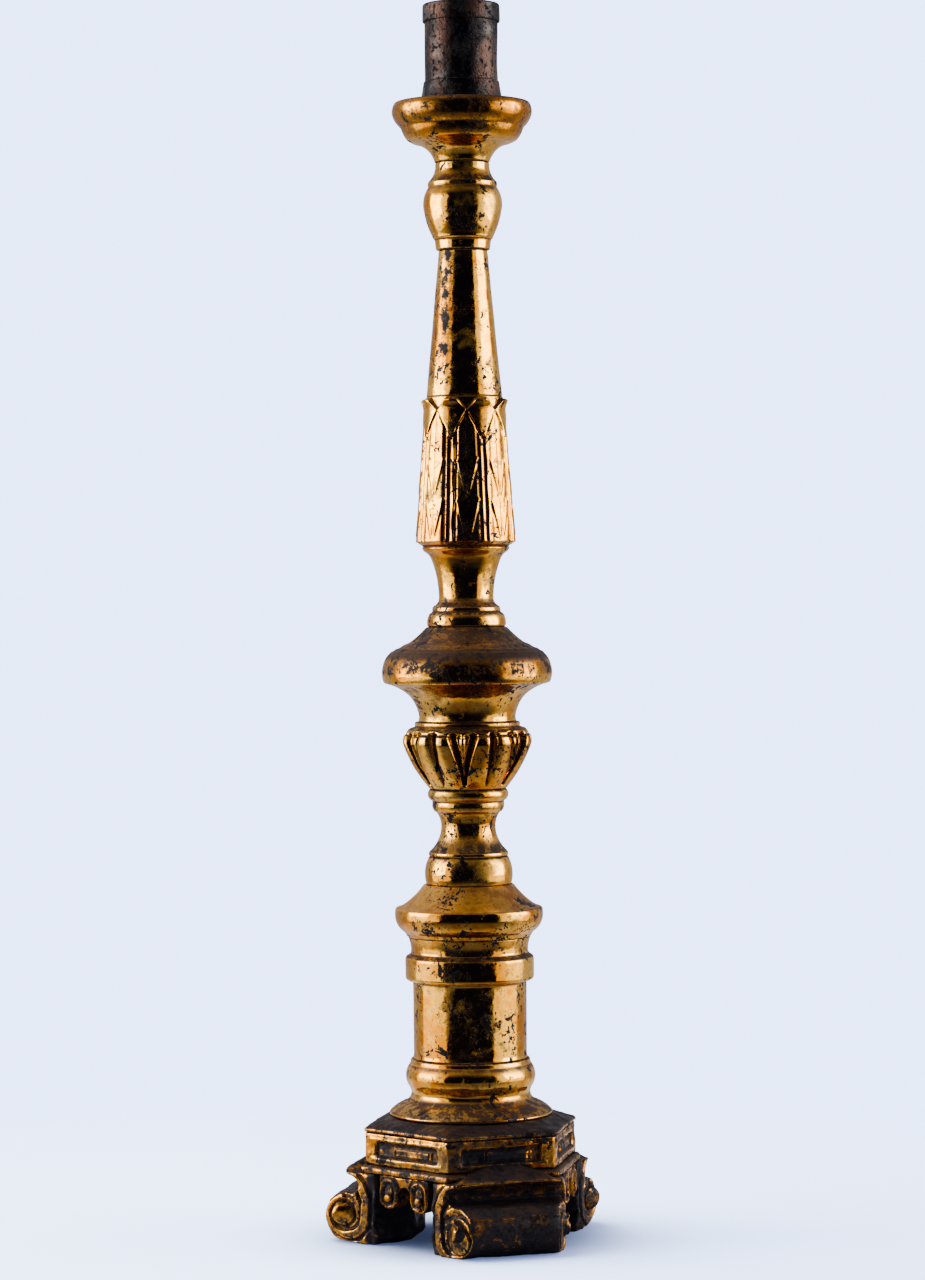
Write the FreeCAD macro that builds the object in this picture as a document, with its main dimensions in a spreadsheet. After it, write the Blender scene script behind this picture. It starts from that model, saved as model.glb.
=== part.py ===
"""Altar candlestick in turned and carved wood, with a sheet-metal candle socket.

Millimetres. +Z is up, and the origin is on the turning axis at floor level.
The front foot points along -Y. Every driving dimension is a cell of the sheet "Sizes".
"""

import FreeCAD, Part
import math
import os
import Sketcher

Vector = FreeCAD.Vector
Rotation = FreeCAD.Rotation

doc = FreeCAD.newDocument("altar_candlestick")
sheet = doc.addObject("Spreadsheet::Sheet", "Sizes")
sizes = {}


# --- the sheet of sizes -------------------------------------------------------------------


def size(name, value):
    """Write one driving dimension into the sheet and return its name."""
    row = len(sizes) + 1
    sheet.set("A%d" % row, name)
    sheet.set("B%d" % row, "%g" % value)
    sheet.setAlias("B%d" % row, name)
    sizes[name] = value
    return name


def formula(name, text, value):
    """Write one derived dimension, worked out by the sheet from its own cells."""
    row = len(sizes) + 1
    sheet.set("A%d" % row, name)
    sheet.set("B%d" % row, "=" + text)
    sheet.setAlias("B%d" % row, name)
    sizes[name] = value
    return name


def number(entry):
    """The value of a size name, which may carry a minus sign, or of a plain zero."""
    if entry == 0:
        return 0
    if entry.startswith("-"):
        return -sizes[entry[1:]]
    return sizes[entry]


def bound(entry):
    """The expression that reads a size name from the sheet."""
    if entry.startswith("-"):
        return "-Sizes." + entry[1:]
    return "Sizes." + entry


# --- sketches and features ----------------------------------------------------------------


def new_body(label):
    body = doc.addObject("PartDesign::Body", label)
    body.Label = label
    return body


def new_sketch(body, name, role, offset=None, swing=None):
    """A sketch on one of the body's own origin planes.

    offset is its distance along the normal, and swing turns it about the sketch's own Y axis.
    """
    sketch = body.newObject("Sketcher::SketchObject", name)
    plane = [item for item in body.Origin.OriginFeatures if item.Role == role][0]
    sketch.AttachmentSupport = [(plane, "")]
    sketch.MapMode = "FlatFace"
    if offset is not None:
        sketch.AttachmentOffset = FreeCAD.Placement(Vector(0, 0, number(offset)), Rotation())
        sketch.setExpression("AttachmentOffset.Base.z", bound(offset))
    if swing is not None:
        turned = Rotation(Vector(0, 1, 0), number(swing))
        sketch.AttachmentOffset = FreeCAD.Placement(Vector(), turned)
        sketch.setExpression("AttachmentOffset.Rotation.Angle", bound(swing))
    return sketch


def bind(sketch, constraint, name, expression):
    """Add a constraint, name it, and let the sheet drive it."""
    index = sketch.addConstraint(constraint)
    sketch.renameConstraint(index, name)
    sketch.setExpression("Constraints." + name, expression)


def arc_between(start, end, bow):
    """An arc whose middle stands off the chord by bow, to the right of travel when positive."""
    chord = end - start
    half = chord.Length / 2
    radius = (half * half + bow * bow) / (2 * abs(bow))
    right = Vector(chord.y, -chord.x, 0).normalize()
    side = 1 if bow > 0 else -1
    centre = (start + end) * 0.5 + right * (bow - side * radius)
    first, last = (start, end) if bow > 0 else (end, start)
    first_angle = math.atan2(first.y - centre.y, first.x - centre.x)
    last_angle = math.atan2(last.y - centre.y, last.x - centre.x)
    circle = Part.Circle(centre, Vector(0, 0, 1), radius)
    return Part.ArcOfCircle(circle, first_angle, last_angle)


def corner_sizes(prefix, words, corners):
    """Turn each (word, first, second[, bow]) into sheet names, writing the new ones."""
    named = []
    for word, first, second, *bow in corners:
        stem = prefix + "_" + word
        if not isinstance(first, str) and first != 0:
            first = size(stem + "_" + words[0], first)
        if not isinstance(second, str) and second != 0:
            second = size(stem + "_" + words[1], second)
        bow = size(stem + "_bow", bow[0]) if bow else None
        named.append((stem, first, second, bow))
    for i, (stem, first, second, bow) in enumerate(named):
        if bow is not None:
            _, first_before, second_before, _ = named[i - 1]
            width = "(%s-%s)" % (plain(first), plain(first_before))
            rise = "(%s-%s)" % (plain(second), plain(second_before))
            chord = "(%s*%s+%s*%s)" % (width, width, rise, rise)
            text = "(%s/4+%s*%s)/(2*abs(%s))" % (chord, bow, bow, bow)
            across, up = number(first) - number(first_before), number(second) - number(second_before)
            half = math.hypot(across, up) / 2
            depth = number(bow)
            formula(stem + "_arc", text, (half * half + depth * depth) / (2 * abs(depth)))
    return named


def draw_outline(sketch, named):
    """Draw a closed outline from named corners and bind every corner and arc to the sheet."""
    points = [Vector(number(first), number(second), 0) for _, first, second, _ in named]
    segments = []
    for i, start in enumerate(points):
        end = points[(i + 1) % len(points)]
        stem, _, _, bow = named[(i + 1) % len(points)]
        if bow is None:
            geo = sketch.addGeometry(Part.LineSegment(start, end), False)
            segments.append((geo, 1, 2))
            continue
        geo = sketch.addGeometry(arc_between(start, end, number(bow)), False)
        segments.append((geo, 1, 2) if number(bow) > 0 else (geo, 2, 1))
        cell = stem + "_arc"
        bind(sketch, Sketcher.Constraint("Radius", geo, number(cell)), cell, bound(cell))
    for i, (geo, start, _) in enumerate(segments):
        before, _, end = segments[i - 1]
        sketch.addConstraint(Sketcher.Constraint("Coincident", before, end, geo, start))
        stem, first, second, _ = named[i]
        pin_point(sketch, geo, start, stem, first, second)


def pin_point(sketch, geo, end, stem, first, second):
    """Hold one point of a sketch at sizes from the sheet; zero puts it on that axis."""
    if first == 0:
        sketch.addConstraint(Sketcher.Constraint("PointOnObject", geo, end, -2))
    else:
        across = Sketcher.Constraint("DistanceX", -1, 1, geo, end, number(first))
        bind(sketch, across, stem + "_x", bound(first))
    if second == 0:
        sketch.addConstraint(Sketcher.Constraint("PointOnObject", geo, end, -1))
    else:
        up = Sketcher.Constraint("DistanceY", -1, 1, geo, end, number(second))
        bind(sketch, up, stem + "_y", bound(second))


def plain(entry):
    """A size name as the sheet's own formulas write it."""
    if entry == 0:
        return "0"
    if entry.startswith("-"):
        return "(-%s)" % entry[1:]
    return entry


def turn(label, corners):
    """A turned piece: a closed half outline in radius and height, revolved about the axis."""
    body = new_body(label)
    sketch = new_sketch(body, label + "_outline", "XZ_Plane")
    draw_outline(sketch, corner_sizes(label, ("radius", "height"), corners))
    feature = body.newObject("PartDesign::Revolution", label + "_turning")
    feature.Profile = sketch
    feature.ReferenceAxis = (sketch, ["V_Axis"])
    feature.Angle = 360
    doc.recompute()
    sketch.Visibility = False
    return body


def add_pad(body, name, sketch, length, symmetric=False, reverse=False):
    feature = body.newObject("PartDesign::Pad", name)
    feature.Profile = sketch
    feature.Length = number(length)
    feature.setExpression("Length", bound(length))
    feature.Midplane = symmetric
    feature.Reversed = reverse
    doc.recompute()
    sketch.Visibility = False
    return feature


def add_pocket(body, name, sketch, length=None, symmetric=False, reverse=False):
    """Cut by a length from the sheet, or all the way through both ways when none is given."""
    before = body.Shape.Volume
    feature = body.newObject("PartDesign::Pocket", name)
    feature.Profile = sketch
    if length is None:
        feature.Type = "ThroughAll"
        feature.Midplane = True
    else:
        feature.Length = number(length)
        feature.setExpression("Length", bound(length))
        feature.Midplane = symmetric
    feature.Reversed = reverse
    doc.recompute()
    sketch.Visibility = False
    if body.Shape.Volume > before - 1:
        raise RuntimeError("%s cut nothing" % name)
    return feature


def add_polar(body, name, features, count):
    """Repeat features evenly about the turning axis."""
    before = body.Shape.Volume
    axis = [item for item in body.Origin.OriginFeatures if item.Role == "Z_Axis"][0]
    pattern = body.newObject("PartDesign::PolarPattern", name)
    pattern.Originals = features
    pattern.Axis = (axis, [""])
    pattern.Angle = 360
    pattern.Occurrences = int(number(count))
    pattern.setExpression("Occurrences", bound(count))
    body.Tip = pattern
    doc.recompute()
    if abs(body.Shape.Volume - before) < 1:
        raise RuntimeError("%s repeated nothing" % name)
    return pattern


def add_circles(sketch, circles):
    """Circles given as (name, across, up, radius), all three bound to the sheet."""
    for name, across, up, radius in circles:
        middle = Vector(number(across), number(up), 0)
        geo = sketch.addGeometry(Part.Circle(middle, Vector(0, 0, 1), number(radius)), False)
        bind(sketch, Sketcher.Constraint("Radius", geo, number(radius)), name + "_r", bound(radius))
        pin_point(sketch, geo, 3, name, across, up)


def add_hexagon(sketch, name, apothem):
    """A regular hexagon about the axis, with two sides square to Y, sized by its apothem."""
    reach = number(apothem) / math.cos(math.radians(30))
    corners = [
        Vector(reach * math.cos(math.radians(60 * k)), reach * math.sin(math.radians(60 * k)), 0)
        for k in range(6)
    ]
    sides = [
        sketch.addGeometry(Part.LineSegment(corners[k], corners[(k + 1) % 6]), False)
        for k in range(6)
    ]
    ring = sketch.addGeometry(Part.Circle(Vector(), Vector(0, 0, 1), reach), True)
    sketch.addConstraint(Sketcher.Constraint("Coincident", ring, 3, -1, 1))
    for k, side in enumerate(sides):
        sketch.addConstraint(Sketcher.Constraint("Coincident", sides[k - 1], 2, side, 1))
        sketch.addConstraint(Sketcher.Constraint("PointOnObject", side, 1, ring))
        if k:
            sketch.addConstraint(Sketcher.Constraint("Equal", sides[0], side))
    sketch.addConstraint(Sketcher.Constraint("PointOnObject", sides[0], 1, -1))
    reach_rule = bound(apothem) + " / cos(30 deg)"
    bind(sketch, Sketcher.Constraint("Radius", ring, reach), name + "_reach", reach_rule)


def place(body, turn_angle):
    """Turn a piece about the axis by an angle from the sheet."""
    body.Placement = FreeCAD.Placement(Vector(), Rotation(Vector(0, 0, 1), number(turn_angle)))
    body.setExpression("Placement.Rotation.Angle", bound(turn_angle))


# --- shared sizes -------------------------------------------------------------------------

# round tenons and the sockets they are glued in
size("tenon_radius", 9.9)
size("tenon_socket_radius", 10)
size("slim_tenon_radius", 7.9)
size("slim_socket_radius", 8)
size("wide_tenon_radius", 15.9)
size("wide_socket_radius", 16)

# heights where one piece stands on the next
size("plinth_base_bottom", 45)
size("plinth_block_bottom", 50)
size("plinth_cap_bottom", 70.3)
size("column_base_bottom", 78.5)
size("drum_bottom", 114)
size("column_cap_bottom", 191)
size("baluster_ring_bottom", 224)
size("baluster_neck_bottom", 241.8)
size("cup_bottom", 284.5)
size("disc_bottom", 327)
size("leaf_shaft_bottom", 387)
size("tapered_shaft_bottom", 532)
size("knop_bottom", 624.8)
size("pan_bottom", 680)
size("dish_floor", 708)
size("socket_bottom", 708.3)
size("socket_top", 780)

# the iron spike and the socket that slips over it
size("shank_radius", 3)
size("shank_bottom", 650)
size("spike_radius", 4.5)
size("sleeve_bore_radius", 4.6)
size("sleeve_outer_radius", 5.6)
size("tube_bore_radius", 22)
size("tube_outer_radius", 23.1)
size("floor_radius", 22.3)
size("socket_floor_bottom", 737)
size("socket_floor_top", 738.2)
size("plate_top", 709)

# --- feet ---------------------------------------------------------------------------------

size("foot_pad_width", 90)
size("foot_eye_out", -75.5)
size("foot_eye_height", 18.5)
size("foot_eye_radius", 7.5)
size("foot_eye_width", 75)
size("foot_dowel_radius", 4)
size("foot_dowel_across", 18)
size("foot_dowel_out", -50)
size("foot_dowel_bottom", 31)
size("foot_dowel_length", 29)
size("foot_dowel_hole_depth", 15)
size("dowel_hole_above", 16)

# outline seen from the side, with the toe along -Y
FOOT_SIDE = [
    ("heel", -34, 0),
    ("back_top", -34, "plinth_base_bottom"),
    ("under_moulding", -63.6, "plinth_base_bottom"),
    ("behind_lip", -63.6, "plinth_block_bottom"),
    ("on_moulding", -60.6, "plinth_block_bottom"),
    ("lip_top", -60.6, 55.5),
    ("lip_nose", -74.6, 46.4, -0.6),
    ("lip_under", -74.2, 44.2, 0.8),
    ("hollow_back", -64.6, 37.5, -1.2),
    ("roll_top", -69, 31.6, -1.1),
    ("roll_nose", -88.5, 16, 6),
    ("roll_foot", -72.5, 0, 4.7),
]

# what is cut away beside the foot, seen from above, for the right side
FOOT_PLAN = [
    ("toe", 28.2, -89.6),
    ("flare", 43.5, -53),
    ("heel_side", 20, -34),
    ("heel_clear", 20, -30),
    ("far_back", 60, -30),
    ("far_front", 60, -89.6),
]

# what is cut away above the arched lip, seen from the front
FOOT_LIP = [
    ("right_low", 46, 45),
    ("right_high", 46, 60),
    ("left_high", -46, 60),
    ("left_low", -46, 45),
    ("arch_left", -32, 45),
    ("arch_right", 32, 45, -10.3),
]


def carve_foot(label, side, plan, lip):
    body = new_body(label)
    sketch = new_sketch(body, label + "_side", "YZ_Plane")
    draw_outline(sketch, side)
    add_pad(body, label + "_block", sketch, "foot_pad_width", symmetric=True)
    for word, mirrored in (("right", False), ("left", True)):
        sketch = new_sketch(body, "%s_%s_flank" % (label, word), "XY_Plane")
        draw_outline(sketch, mirror(plan) if mirrored else plan)
        add_pocket(body, "%s_%s_flare" % (label, word), sketch)
    sketch = new_sketch(body, label + "_lip", "XZ_Plane")
    draw_outline(sketch, lip)
    add_pocket(body, label + "_lip_arch", sketch)
    sketch = new_sketch(body, label + "_eye", "YZ_Plane")
    add_circles(sketch, [("eye", "foot_eye_out", "foot_eye_height", "foot_eye_radius")])
    add_pad(body, label + "_eyes", sketch, "foot_eye_width", symmetric=True)
    sketch = new_sketch(body, label + "_dowels", "XY_Plane", "plinth_base_bottom")
    add_circles(sketch, dowel_circles())
    add_pocket(body, label + "_dowel_holes", sketch, "foot_dowel_hole_depth")
    return body


def mirror(named):
    """The same outline on the left, walked the other way round."""
    return [(stem, "-" + first, second, bow) for stem, first, second, bow in reversed(named)]


def dowel_circles():
    return [
        ("right", "foot_dowel_across", "foot_dowel_out", "foot_dowel_radius"),
        ("left", "-foot_dowel_across", "foot_dowel_out", "foot_dowel_radius"),
    ]


foot_side = corner_sizes("foot", ("out", "height"), FOOT_SIDE)
foot_plan = corner_sizes("foot_plan", ("across", "out"), FOOT_PLAN)
foot_lip = corner_sizes("foot_lip", ("across", "height"), FOOT_LIP)
size("front_turn", 0)
size("left_foot_turn", -120)
size("right_foot_turn", 120)

foot_labels = ("foot_front", "foot_left", "foot_right")
feet = [carve_foot(label, foot_side, foot_plan, foot_lip) for label in foot_labels]
for foot, angle in zip(feet, ("front_turn", "left_foot_turn", "right_foot_turn")):
    place(foot, angle)

dowels = new_body("foot_dowels")
dowels.AllowCompound = True
dowel_sketch = new_sketch(dowels, "foot_dowels_section", "XY_Plane", "foot_dowel_bottom")
add_circles(dowel_sketch, dowel_circles())
dowel_pad = add_pad(dowels, "foot_dowel_pair", dowel_sketch, "foot_dowel_length")
size("foot_count", 3)
add_polar(dowels, "foot_dowels_all_round", [dowel_pad], "foot_count")

# --- aprons between the feet --------------------------------------------------------------

# seen from the front, with two hanging lobes and an arch between them
APRON = [
    ("left_top", -20.6, "plinth_base_bottom"),
    ("left_side", -20.6, 31),
    ("left_lobe", -4.9, 33, 7.9),
    ("right_lobe_start", 4.9, 33, -5.5),
    ("right_side", 20.6, 31, 7.9),
    ("right_top", 20.6, "plinth_base_bottom"),
]
size("apron_front", 63.4)
size("apron_thickness", 12)
size("apron_eye_across", 12.8)
size("apron_eye_height", 31)
size("apron_eye_radius", 3.2)
size("apron_eye_depth", 13.4)
size("left_apron_turn", -60)
size("right_apron_turn", 60)
size("rear_apron_turn", 180)
size("apron_back", 51.4)
apron_outline = corner_sizes("apron", ("across", "height"), APRON)


def carve_apron(label):
    body = new_body(label)
    sketch = new_sketch(body, label + "_face", "XZ_Plane", "apron_back")
    draw_outline(sketch, apron_outline)
    add_pad(body, label + "_board", sketch, "apron_thickness")
    sketch = new_sketch(body, label + "_eye_face", "XZ_Plane", "apron_back")
    add_circles(sketch, [
        ("left", "-apron_eye_across", "apron_eye_height", "apron_eye_radius"),
        ("right", "apron_eye_across", "apron_eye_height", "apron_eye_radius"),
    ])
    add_pad(body, label + "_eyes", sketch, "apron_eye_depth")
    return body


APRON_PLACES = (
    ("apron_left", "left_apron_turn"),
    ("apron_right", "right_apron_turn"),
    ("apron_rear", "rear_apron_turn"),
)
for apron_label, apron_turn in APRON_PLACES:
    place(carve_apron(apron_label), apron_turn)

# --- hexagonal plinth ---------------------------------------------------------------------

size("plinth_base_apothem", 63.6)
size("plinth_base_height", 5)
size("plinth_block_apothem", 60.6)
size("plinth_block_height", 20.3)
size("plinth_cap_apothem", 61.6)
size("plinth_cap_edge", 2.7)
size("plinth_cap_slope_top", 78.5)
size("plinth_cap_slope_bottom", 73)
size("plinth_cap_round_radius", 51.6)
size("base_chamfer", 1.6)
size("panel_half_width", 26)
size("panel_bottom", 55.6)
size("panel_top", 64.6)
size("panel_face", 58.2)
size("panel_depth", 6)
size("panel_count", 6)
size("column_tenon_bottom", 66.5)
size("column_tenon_hole_bottom", 65.5)
size("column_tenon_hole_depth", 4.8)
size("dowel_hole_depth_in_base", 5)
size("dowel_hole_depth_in_block", 10.5)
size("dowel_hole_block_top", 60.5)

def top_outline_edges(shape, height, reach):
    """Names of the straight edges that run round a board's top at this height."""
    names = []
    for index, edge in enumerate(shape.Edges, 1):
        ends = [vertex.Point for vertex in edge.Vertexes]
        level = all(abs(point.z - height) < 0.01 for point in ends)
        far = all(math.hypot(point.x, point.y) > reach for point in ends)
        if level and far and len(ends) == 2:
            names.append("Edge%d" % index)
    return names


plinth_base = new_body("plinth_base")
base_sketch = new_sketch(plinth_base, "plinth_base_plan", "XY_Plane", "plinth_base_bottom")
add_hexagon(base_sketch, "plinth_base", "plinth_base_apothem")
base_pad = add_pad(plinth_base, "plinth_base_board", base_sketch, "plinth_base_height")
moulding_edges = top_outline_edges(
    base_pad.Shape, sizes["plinth_block_bottom"], sizes["plinth_base_apothem"]
)
chamfer = plinth_base.newObject("PartDesign::Chamfer", "plinth_base_moulding")
chamfer.Base = (base_pad, moulding_edges)
chamfer.Size = sizes["base_chamfer"]
chamfer.setExpression("Size", bound("base_chamfer"))
doc.recompute()
hole_sketch = new_sketch(plinth_base, "plinth_base_dowels", "XY_Plane", "plinth_block_bottom")
add_circles(hole_sketch, dowel_circles())
holes = add_pocket(plinth_base, "plinth_base_dowel_pair", hole_sketch, "plinth_base_height")
add_polar(plinth_base, "plinth_base_dowel_holes", [holes], "foot_count")

plinth_block = new_body("plinth_block")
block_sketch = new_sketch(plinth_block, "plinth_block_plan", "XY_Plane", "plinth_block_bottom")
add_hexagon(block_sketch, "plinth_block", "plinth_block_apothem")
add_pad(plinth_block, "plinth_block_body", block_sketch, "plinth_block_height")
hole_sketch = new_sketch(plinth_block, "plinth_block_dowels", "XY_Plane", "dowel_hole_block_top")
add_circles(hole_sketch, dowel_circles())
holes = add_pocket(plinth_block, "plinth_block_dowel_pair", hole_sketch, "dowel_hole_depth_in_block")
add_polar(plinth_block, "plinth_block_dowel_holes", [holes], "foot_count")
tenon_sketch = new_sketch(plinth_block, "plinth_block_tenon", "XY_Plane", "plinth_cap_bottom")
add_circles(tenon_sketch, [("tenon", 0, 0, "wide_socket_radius")])
add_pocket(plinth_block, "plinth_block_tenon_hole", tenon_sketch, "column_tenon_hole_depth")
panel_sketch = new_sketch(plinth_block, "plinth_panel_outline", "XZ_Plane", "panel_face")
PANEL = [
    ("left_low", "-panel_half_width", "panel_bottom"),
    ("right_low", "panel_half_width", "panel_bottom"),
    ("right_high", "panel_half_width", "panel_top"),
    ("left_high", "-panel_half_width", "panel_top"),
]
draw_outline(panel_sketch, corner_sizes("panel", ("across", "height"), PANEL))
panel = add_pocket(plinth_block, "plinth_panel", panel_sketch, "panel_depth", reverse=True)
add_polar(plinth_block, "plinth_panels", [panel], "panel_count")

plinth_cap = new_body("plinth_cap")
cap_sketch = new_sketch(plinth_cap, "plinth_cap_plan", "XY_Plane", "plinth_cap_bottom")
add_hexagon(cap_sketch, "plinth_cap", "plinth_cap_apothem")
add_pad(plinth_cap, "plinth_cap_edge_board", cap_sketch, "plinth_cap_edge")
low_sketch = new_sketch(plinth_cap, "plinth_cap_slope_foot", "XY_Plane", "plinth_cap_slope_bottom")
add_hexagon(low_sketch, "plinth_cap_low", "plinth_cap_apothem")
high_sketch = new_sketch(plinth_cap, "plinth_cap_slope_head", "XY_Plane", "plinth_cap_slope_top")
add_circles(high_sketch, [("slope", 0, 0, "plinth_cap_round_radius")])
slope = plinth_cap.newObject("PartDesign::AdditiveLoft", "plinth_cap_slope")
slope.Profile = low_sketch
slope.Sections = [high_sketch]
slope.Ruled = True
doc.recompute()
tenon_sketch = new_sketch(plinth_cap, "plinth_cap_tenon", "XY_Plane")
add_circles(tenon_sketch, [("tenon", 0, 0, "wide_socket_radius")])
add_pocket(plinth_cap, "plinth_cap_tenon_hole", tenon_sketch)

# --- turned pieces, from the plinth up ----------------------------------------------------

turn("column_base", [
    ("peg_axis", 0, "column_tenon_bottom"),
    ("peg_end", "wide_tenon_radius", "column_tenon_bottom"),
    ("peg_root", "wide_tenon_radius", "column_base_bottom"),
    ("flange_low", 51.1, "column_base_bottom"),
    ("flange_edge", 51.6, 80.4, 0.4),
    ("flange_top", 40.7, 87, 0.9),
    ("groove", 37.6, 93, -0.8),
    ("fillet", 38.4, 95.5),
    ("torus", 38.2, 111, 2.8),
    ("seat", 37.7, "drum_bottom"),
    ("tenon_root", "wide_tenon_radius", "drum_bottom"),
    ("tenon_end", "wide_tenon_radius", 130),
    ("tenon_axis", 0, 130),
])

turn("column_drum", [
    ("socket_axis", 0, 131),
    ("socket_end", "wide_socket_radius", 131),
    ("socket_mouth", "wide_socket_radius", "drum_bottom"),
    ("foot", 36.4, "drum_bottom"),
    ("wall_low", 35.8, 116.5),
    ("wall_high", 36.1, 163),
    ("band_low", 38.8, 163.4),
    ("band_rise", 40.8, 166, 0.6),
    ("band_high", 40.8, 177),
    ("band_top", 38.6, 179.4, 0.6),
    ("hollow_low", 37.1, 181),
    ("hollow_top", 38.8, "column_cap_bottom", -0.6),
    ("tenon_root", "wide_tenon_radius", "column_cap_bottom"),
    ("tenon_end", "wide_tenon_radius", 207),
    ("tenon_axis", 0, 207),
])

turn("column_cap", [
    ("socket_axis", 0, 208),
    ("socket_end", "wide_socket_radius", 208),
    ("socket_mouth", "wide_socket_radius", "column_cap_bottom"),
    ("under", 39.4, "column_cap_bottom"),
    ("ring_foot", 40.3, 193.6),
    ("ring", 46.9, 206.4, 2.2),
    ("ring_top", 46.2, 209.5, 0.3),
    ("ring_ledge", 44.6, 209.8),
    ("cone_foot", 39, 213, -0.3),
    ("cone_head", 28.5, "baluster_ring_bottom", -0.6),
    ("tenon_root", "tenon_radius", "baluster_ring_bottom"),
    ("tenon_end", "tenon_radius", 258),
    ("tenon_axis", 0, 258),
])

turn("baluster_ring", [
    ("bore_low", "tenon_socket_radius", "baluster_ring_bottom"),
    ("edge_low", 26.9, "baluster_ring_bottom"),
    ("edge_high", 24.9, "baluster_neck_bottom", 1.8),
    ("bore_high", "tenon_socket_radius", "baluster_neck_bottom"),
])

turn("baluster_neck", [
    ("socket_axis", 0, 259),
    ("socket_end", "tenon_socket_radius", 259),
    ("socket_mouth", "tenon_socket_radius", "baluster_neck_bottom"),
    ("flare_low", 25.2, "baluster_neck_bottom"),
    ("flare_high", 25.4, 244.3),
    ("neck_low", 17.2, 259.5, -1.7),
    ("neck_high", 17.2, 262),
    ("neck_top", 20, 269.7, -0.5),
    ("bead_low", 21.2, 270),
    ("bead", 22.4, 276.6, 1),
    ("ring_low", 22.9, 276.9),
    ("ring", 24.2, "cup_bottom", 2),
    ("tenon_root", "tenon_radius", "cup_bottom"),
    ("tenon_end", "tenon_radius", 302),
    ("tenon_axis", 0, 302),
])

cup = turn("gadrooned_cup", [
    ("socket_axis", 0, 303),
    ("socket_end", "tenon_socket_radius", 303),
    ("socket_mouth", "tenon_socket_radius", "cup_bottom"),
    ("foot", 24.4, "cup_bottom"),
    ("belly", 40, 313, 1.3),
    ("shoulder", 38.6, 320, 0.7),
    ("lip", 35.4, 323.3, 0.7),
    ("fillet_low", 33, 324),
    ("fillet_high", 33.2, "disc_bottom", 0.4),
    ("tenon_root", "tenon_radius", "disc_bottom"),
    ("tenon_end", "tenon_radius", 345),
    ("tenon_axis", 0, 345),
])

turn("disc_cap", [
    ("socket_axis", 0, 346),
    ("socket_end", "tenon_socket_radius", 346),
    ("socket_mouth", "tenon_socket_radius", "disc_bottom"),
    ("foot", 31.4, "disc_bottom"),
    ("hollow_low", 30.6, 329.5),
    ("hollow", 36.3, 343, -1.1),
    ("hollow_rim", 50.4, 350.9, -1.1),
    ("edge_low", 52.8, 351.6),
    ("edge", 48.2, 370.4, 3.1),
    ("step", 47.6, 371.2),
    ("ledge", 45.6, 372),
    ("swell", 36.5, 377, 0.5),
    ("slope", 26.3, 385.9, -0.4),
    ("seat", 24.8, "leaf_shaft_bottom"),
    ("tenon_root", "tenon_radius", "leaf_shaft_bottom"),
    ("tenon_end", "tenon_radius", 405),
    ("tenon_axis", 0, 405),
])

leaf_shaft = turn("leaf_shaft", [
    ("socket_axis", 0, 406),
    ("socket_end", "tenon_socket_radius", 406),
    ("socket_mouth", "tenon_socket_radius", "leaf_shaft_bottom"),
    ("foot", 24.7, "leaf_shaft_bottom"),
    ("bead", 23.2, 395.5, 0.9),
    ("small_bead_low", 21.3, 396.4),
    ("small_bead", 20.8, 400, 0.5),
    ("neck_low", 17.2, 404.5, -0.8),
    ("neck_high", 21.9, 429.5, -1.2),
    ("calyx", 26.2, 434.4, -0.7),
    ("calyx_round", 31.4, 445, 0.8),
    ("leaf_narrow", 25.5, 524),
    ("leaf_tip", 26.8, 529, -0.3),
    ("leaf_top", 26.5, 531),
    ("seat", 24.2, "tapered_shaft_bottom"),
    ("tenon_root", "tenon_radius", "tapered_shaft_bottom"),
    ("tenon_end", "tenon_radius", 552),
    ("tenon_axis", 0, 552),
])

turn("tapered_shaft", [
    ("socket_axis", 0, 553),
    ("socket_end", "tenon_socket_radius", 553),
    ("socket_mouth", "tenon_socket_radius", "tapered_shaft_bottom"),
    ("foot", 24, "tapered_shaft_bottom"),
    ("head", 15.3, "knop_bottom"),
    ("tenon_root", "slim_tenon_radius", "knop_bottom"),
    ("tenon_end", "slim_tenon_radius", 642),
    ("tenon_axis", 0, 642),
])

turn("upper_knop", [
    ("socket_axis", 0, 643),
    ("socket_end", "slim_socket_radius", 643),
    ("socket_mouth", "slim_socket_radius", "knop_bottom"),
    ("foot", 17, "knop_bottom"),
    ("foot_top", 17.8, 631.7, 0.1),
    ("base_low", 19.1, 632.2),
    ("base_high", 19.3, 633.6),
    ("vase", 24.6, 650, 0.7),
    ("shoulder", 21.4, 664.8, 1.6),
    ("fillet_low", 22, 665.4),
    ("fillet_high", 22, 667.4),
    ("neck_low", 17.1, 676.5, -0.9),
    ("neck_high", 17.1, "pan_bottom"),
    ("tenon_root", "tenon_radius", "pan_bottom"),
    ("tenon_end", "tenon_radius", 692),
    ("shank_mouth", "shank_radius", 692),
    ("shank_end", "shank_radius", "shank_bottom"),
    ("shank_axis", 0, "shank_bottom"),
])

turn("drip_pan", [
    ("shank_low", "shank_radius", 693),
    ("socket_end", "tenon_socket_radius", 693),
    ("socket_mouth", "tenon_socket_radius", "pan_bottom"),
    ("neck", 17.3, "pan_bottom"),
    ("flare", 31.2, 692.5, -3),
    ("flare_rim", 34.8, 694.4),
    ("bead", 38.8, 702.2, 0.5),
    ("rim_wide", 44.3, 711, 0.9),
    ("rim_high", 42.6, 717.6, 0.6),
    ("rim_inside", 41, 717.2, 0.4),
    ("dish_edge", 30, "dish_floor", -1.4),
    ("shank_high", "shank_radius", "dish_floor"),
])

# --- iron spike, its plate, and the metal candle socket -----------------------------------

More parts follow.
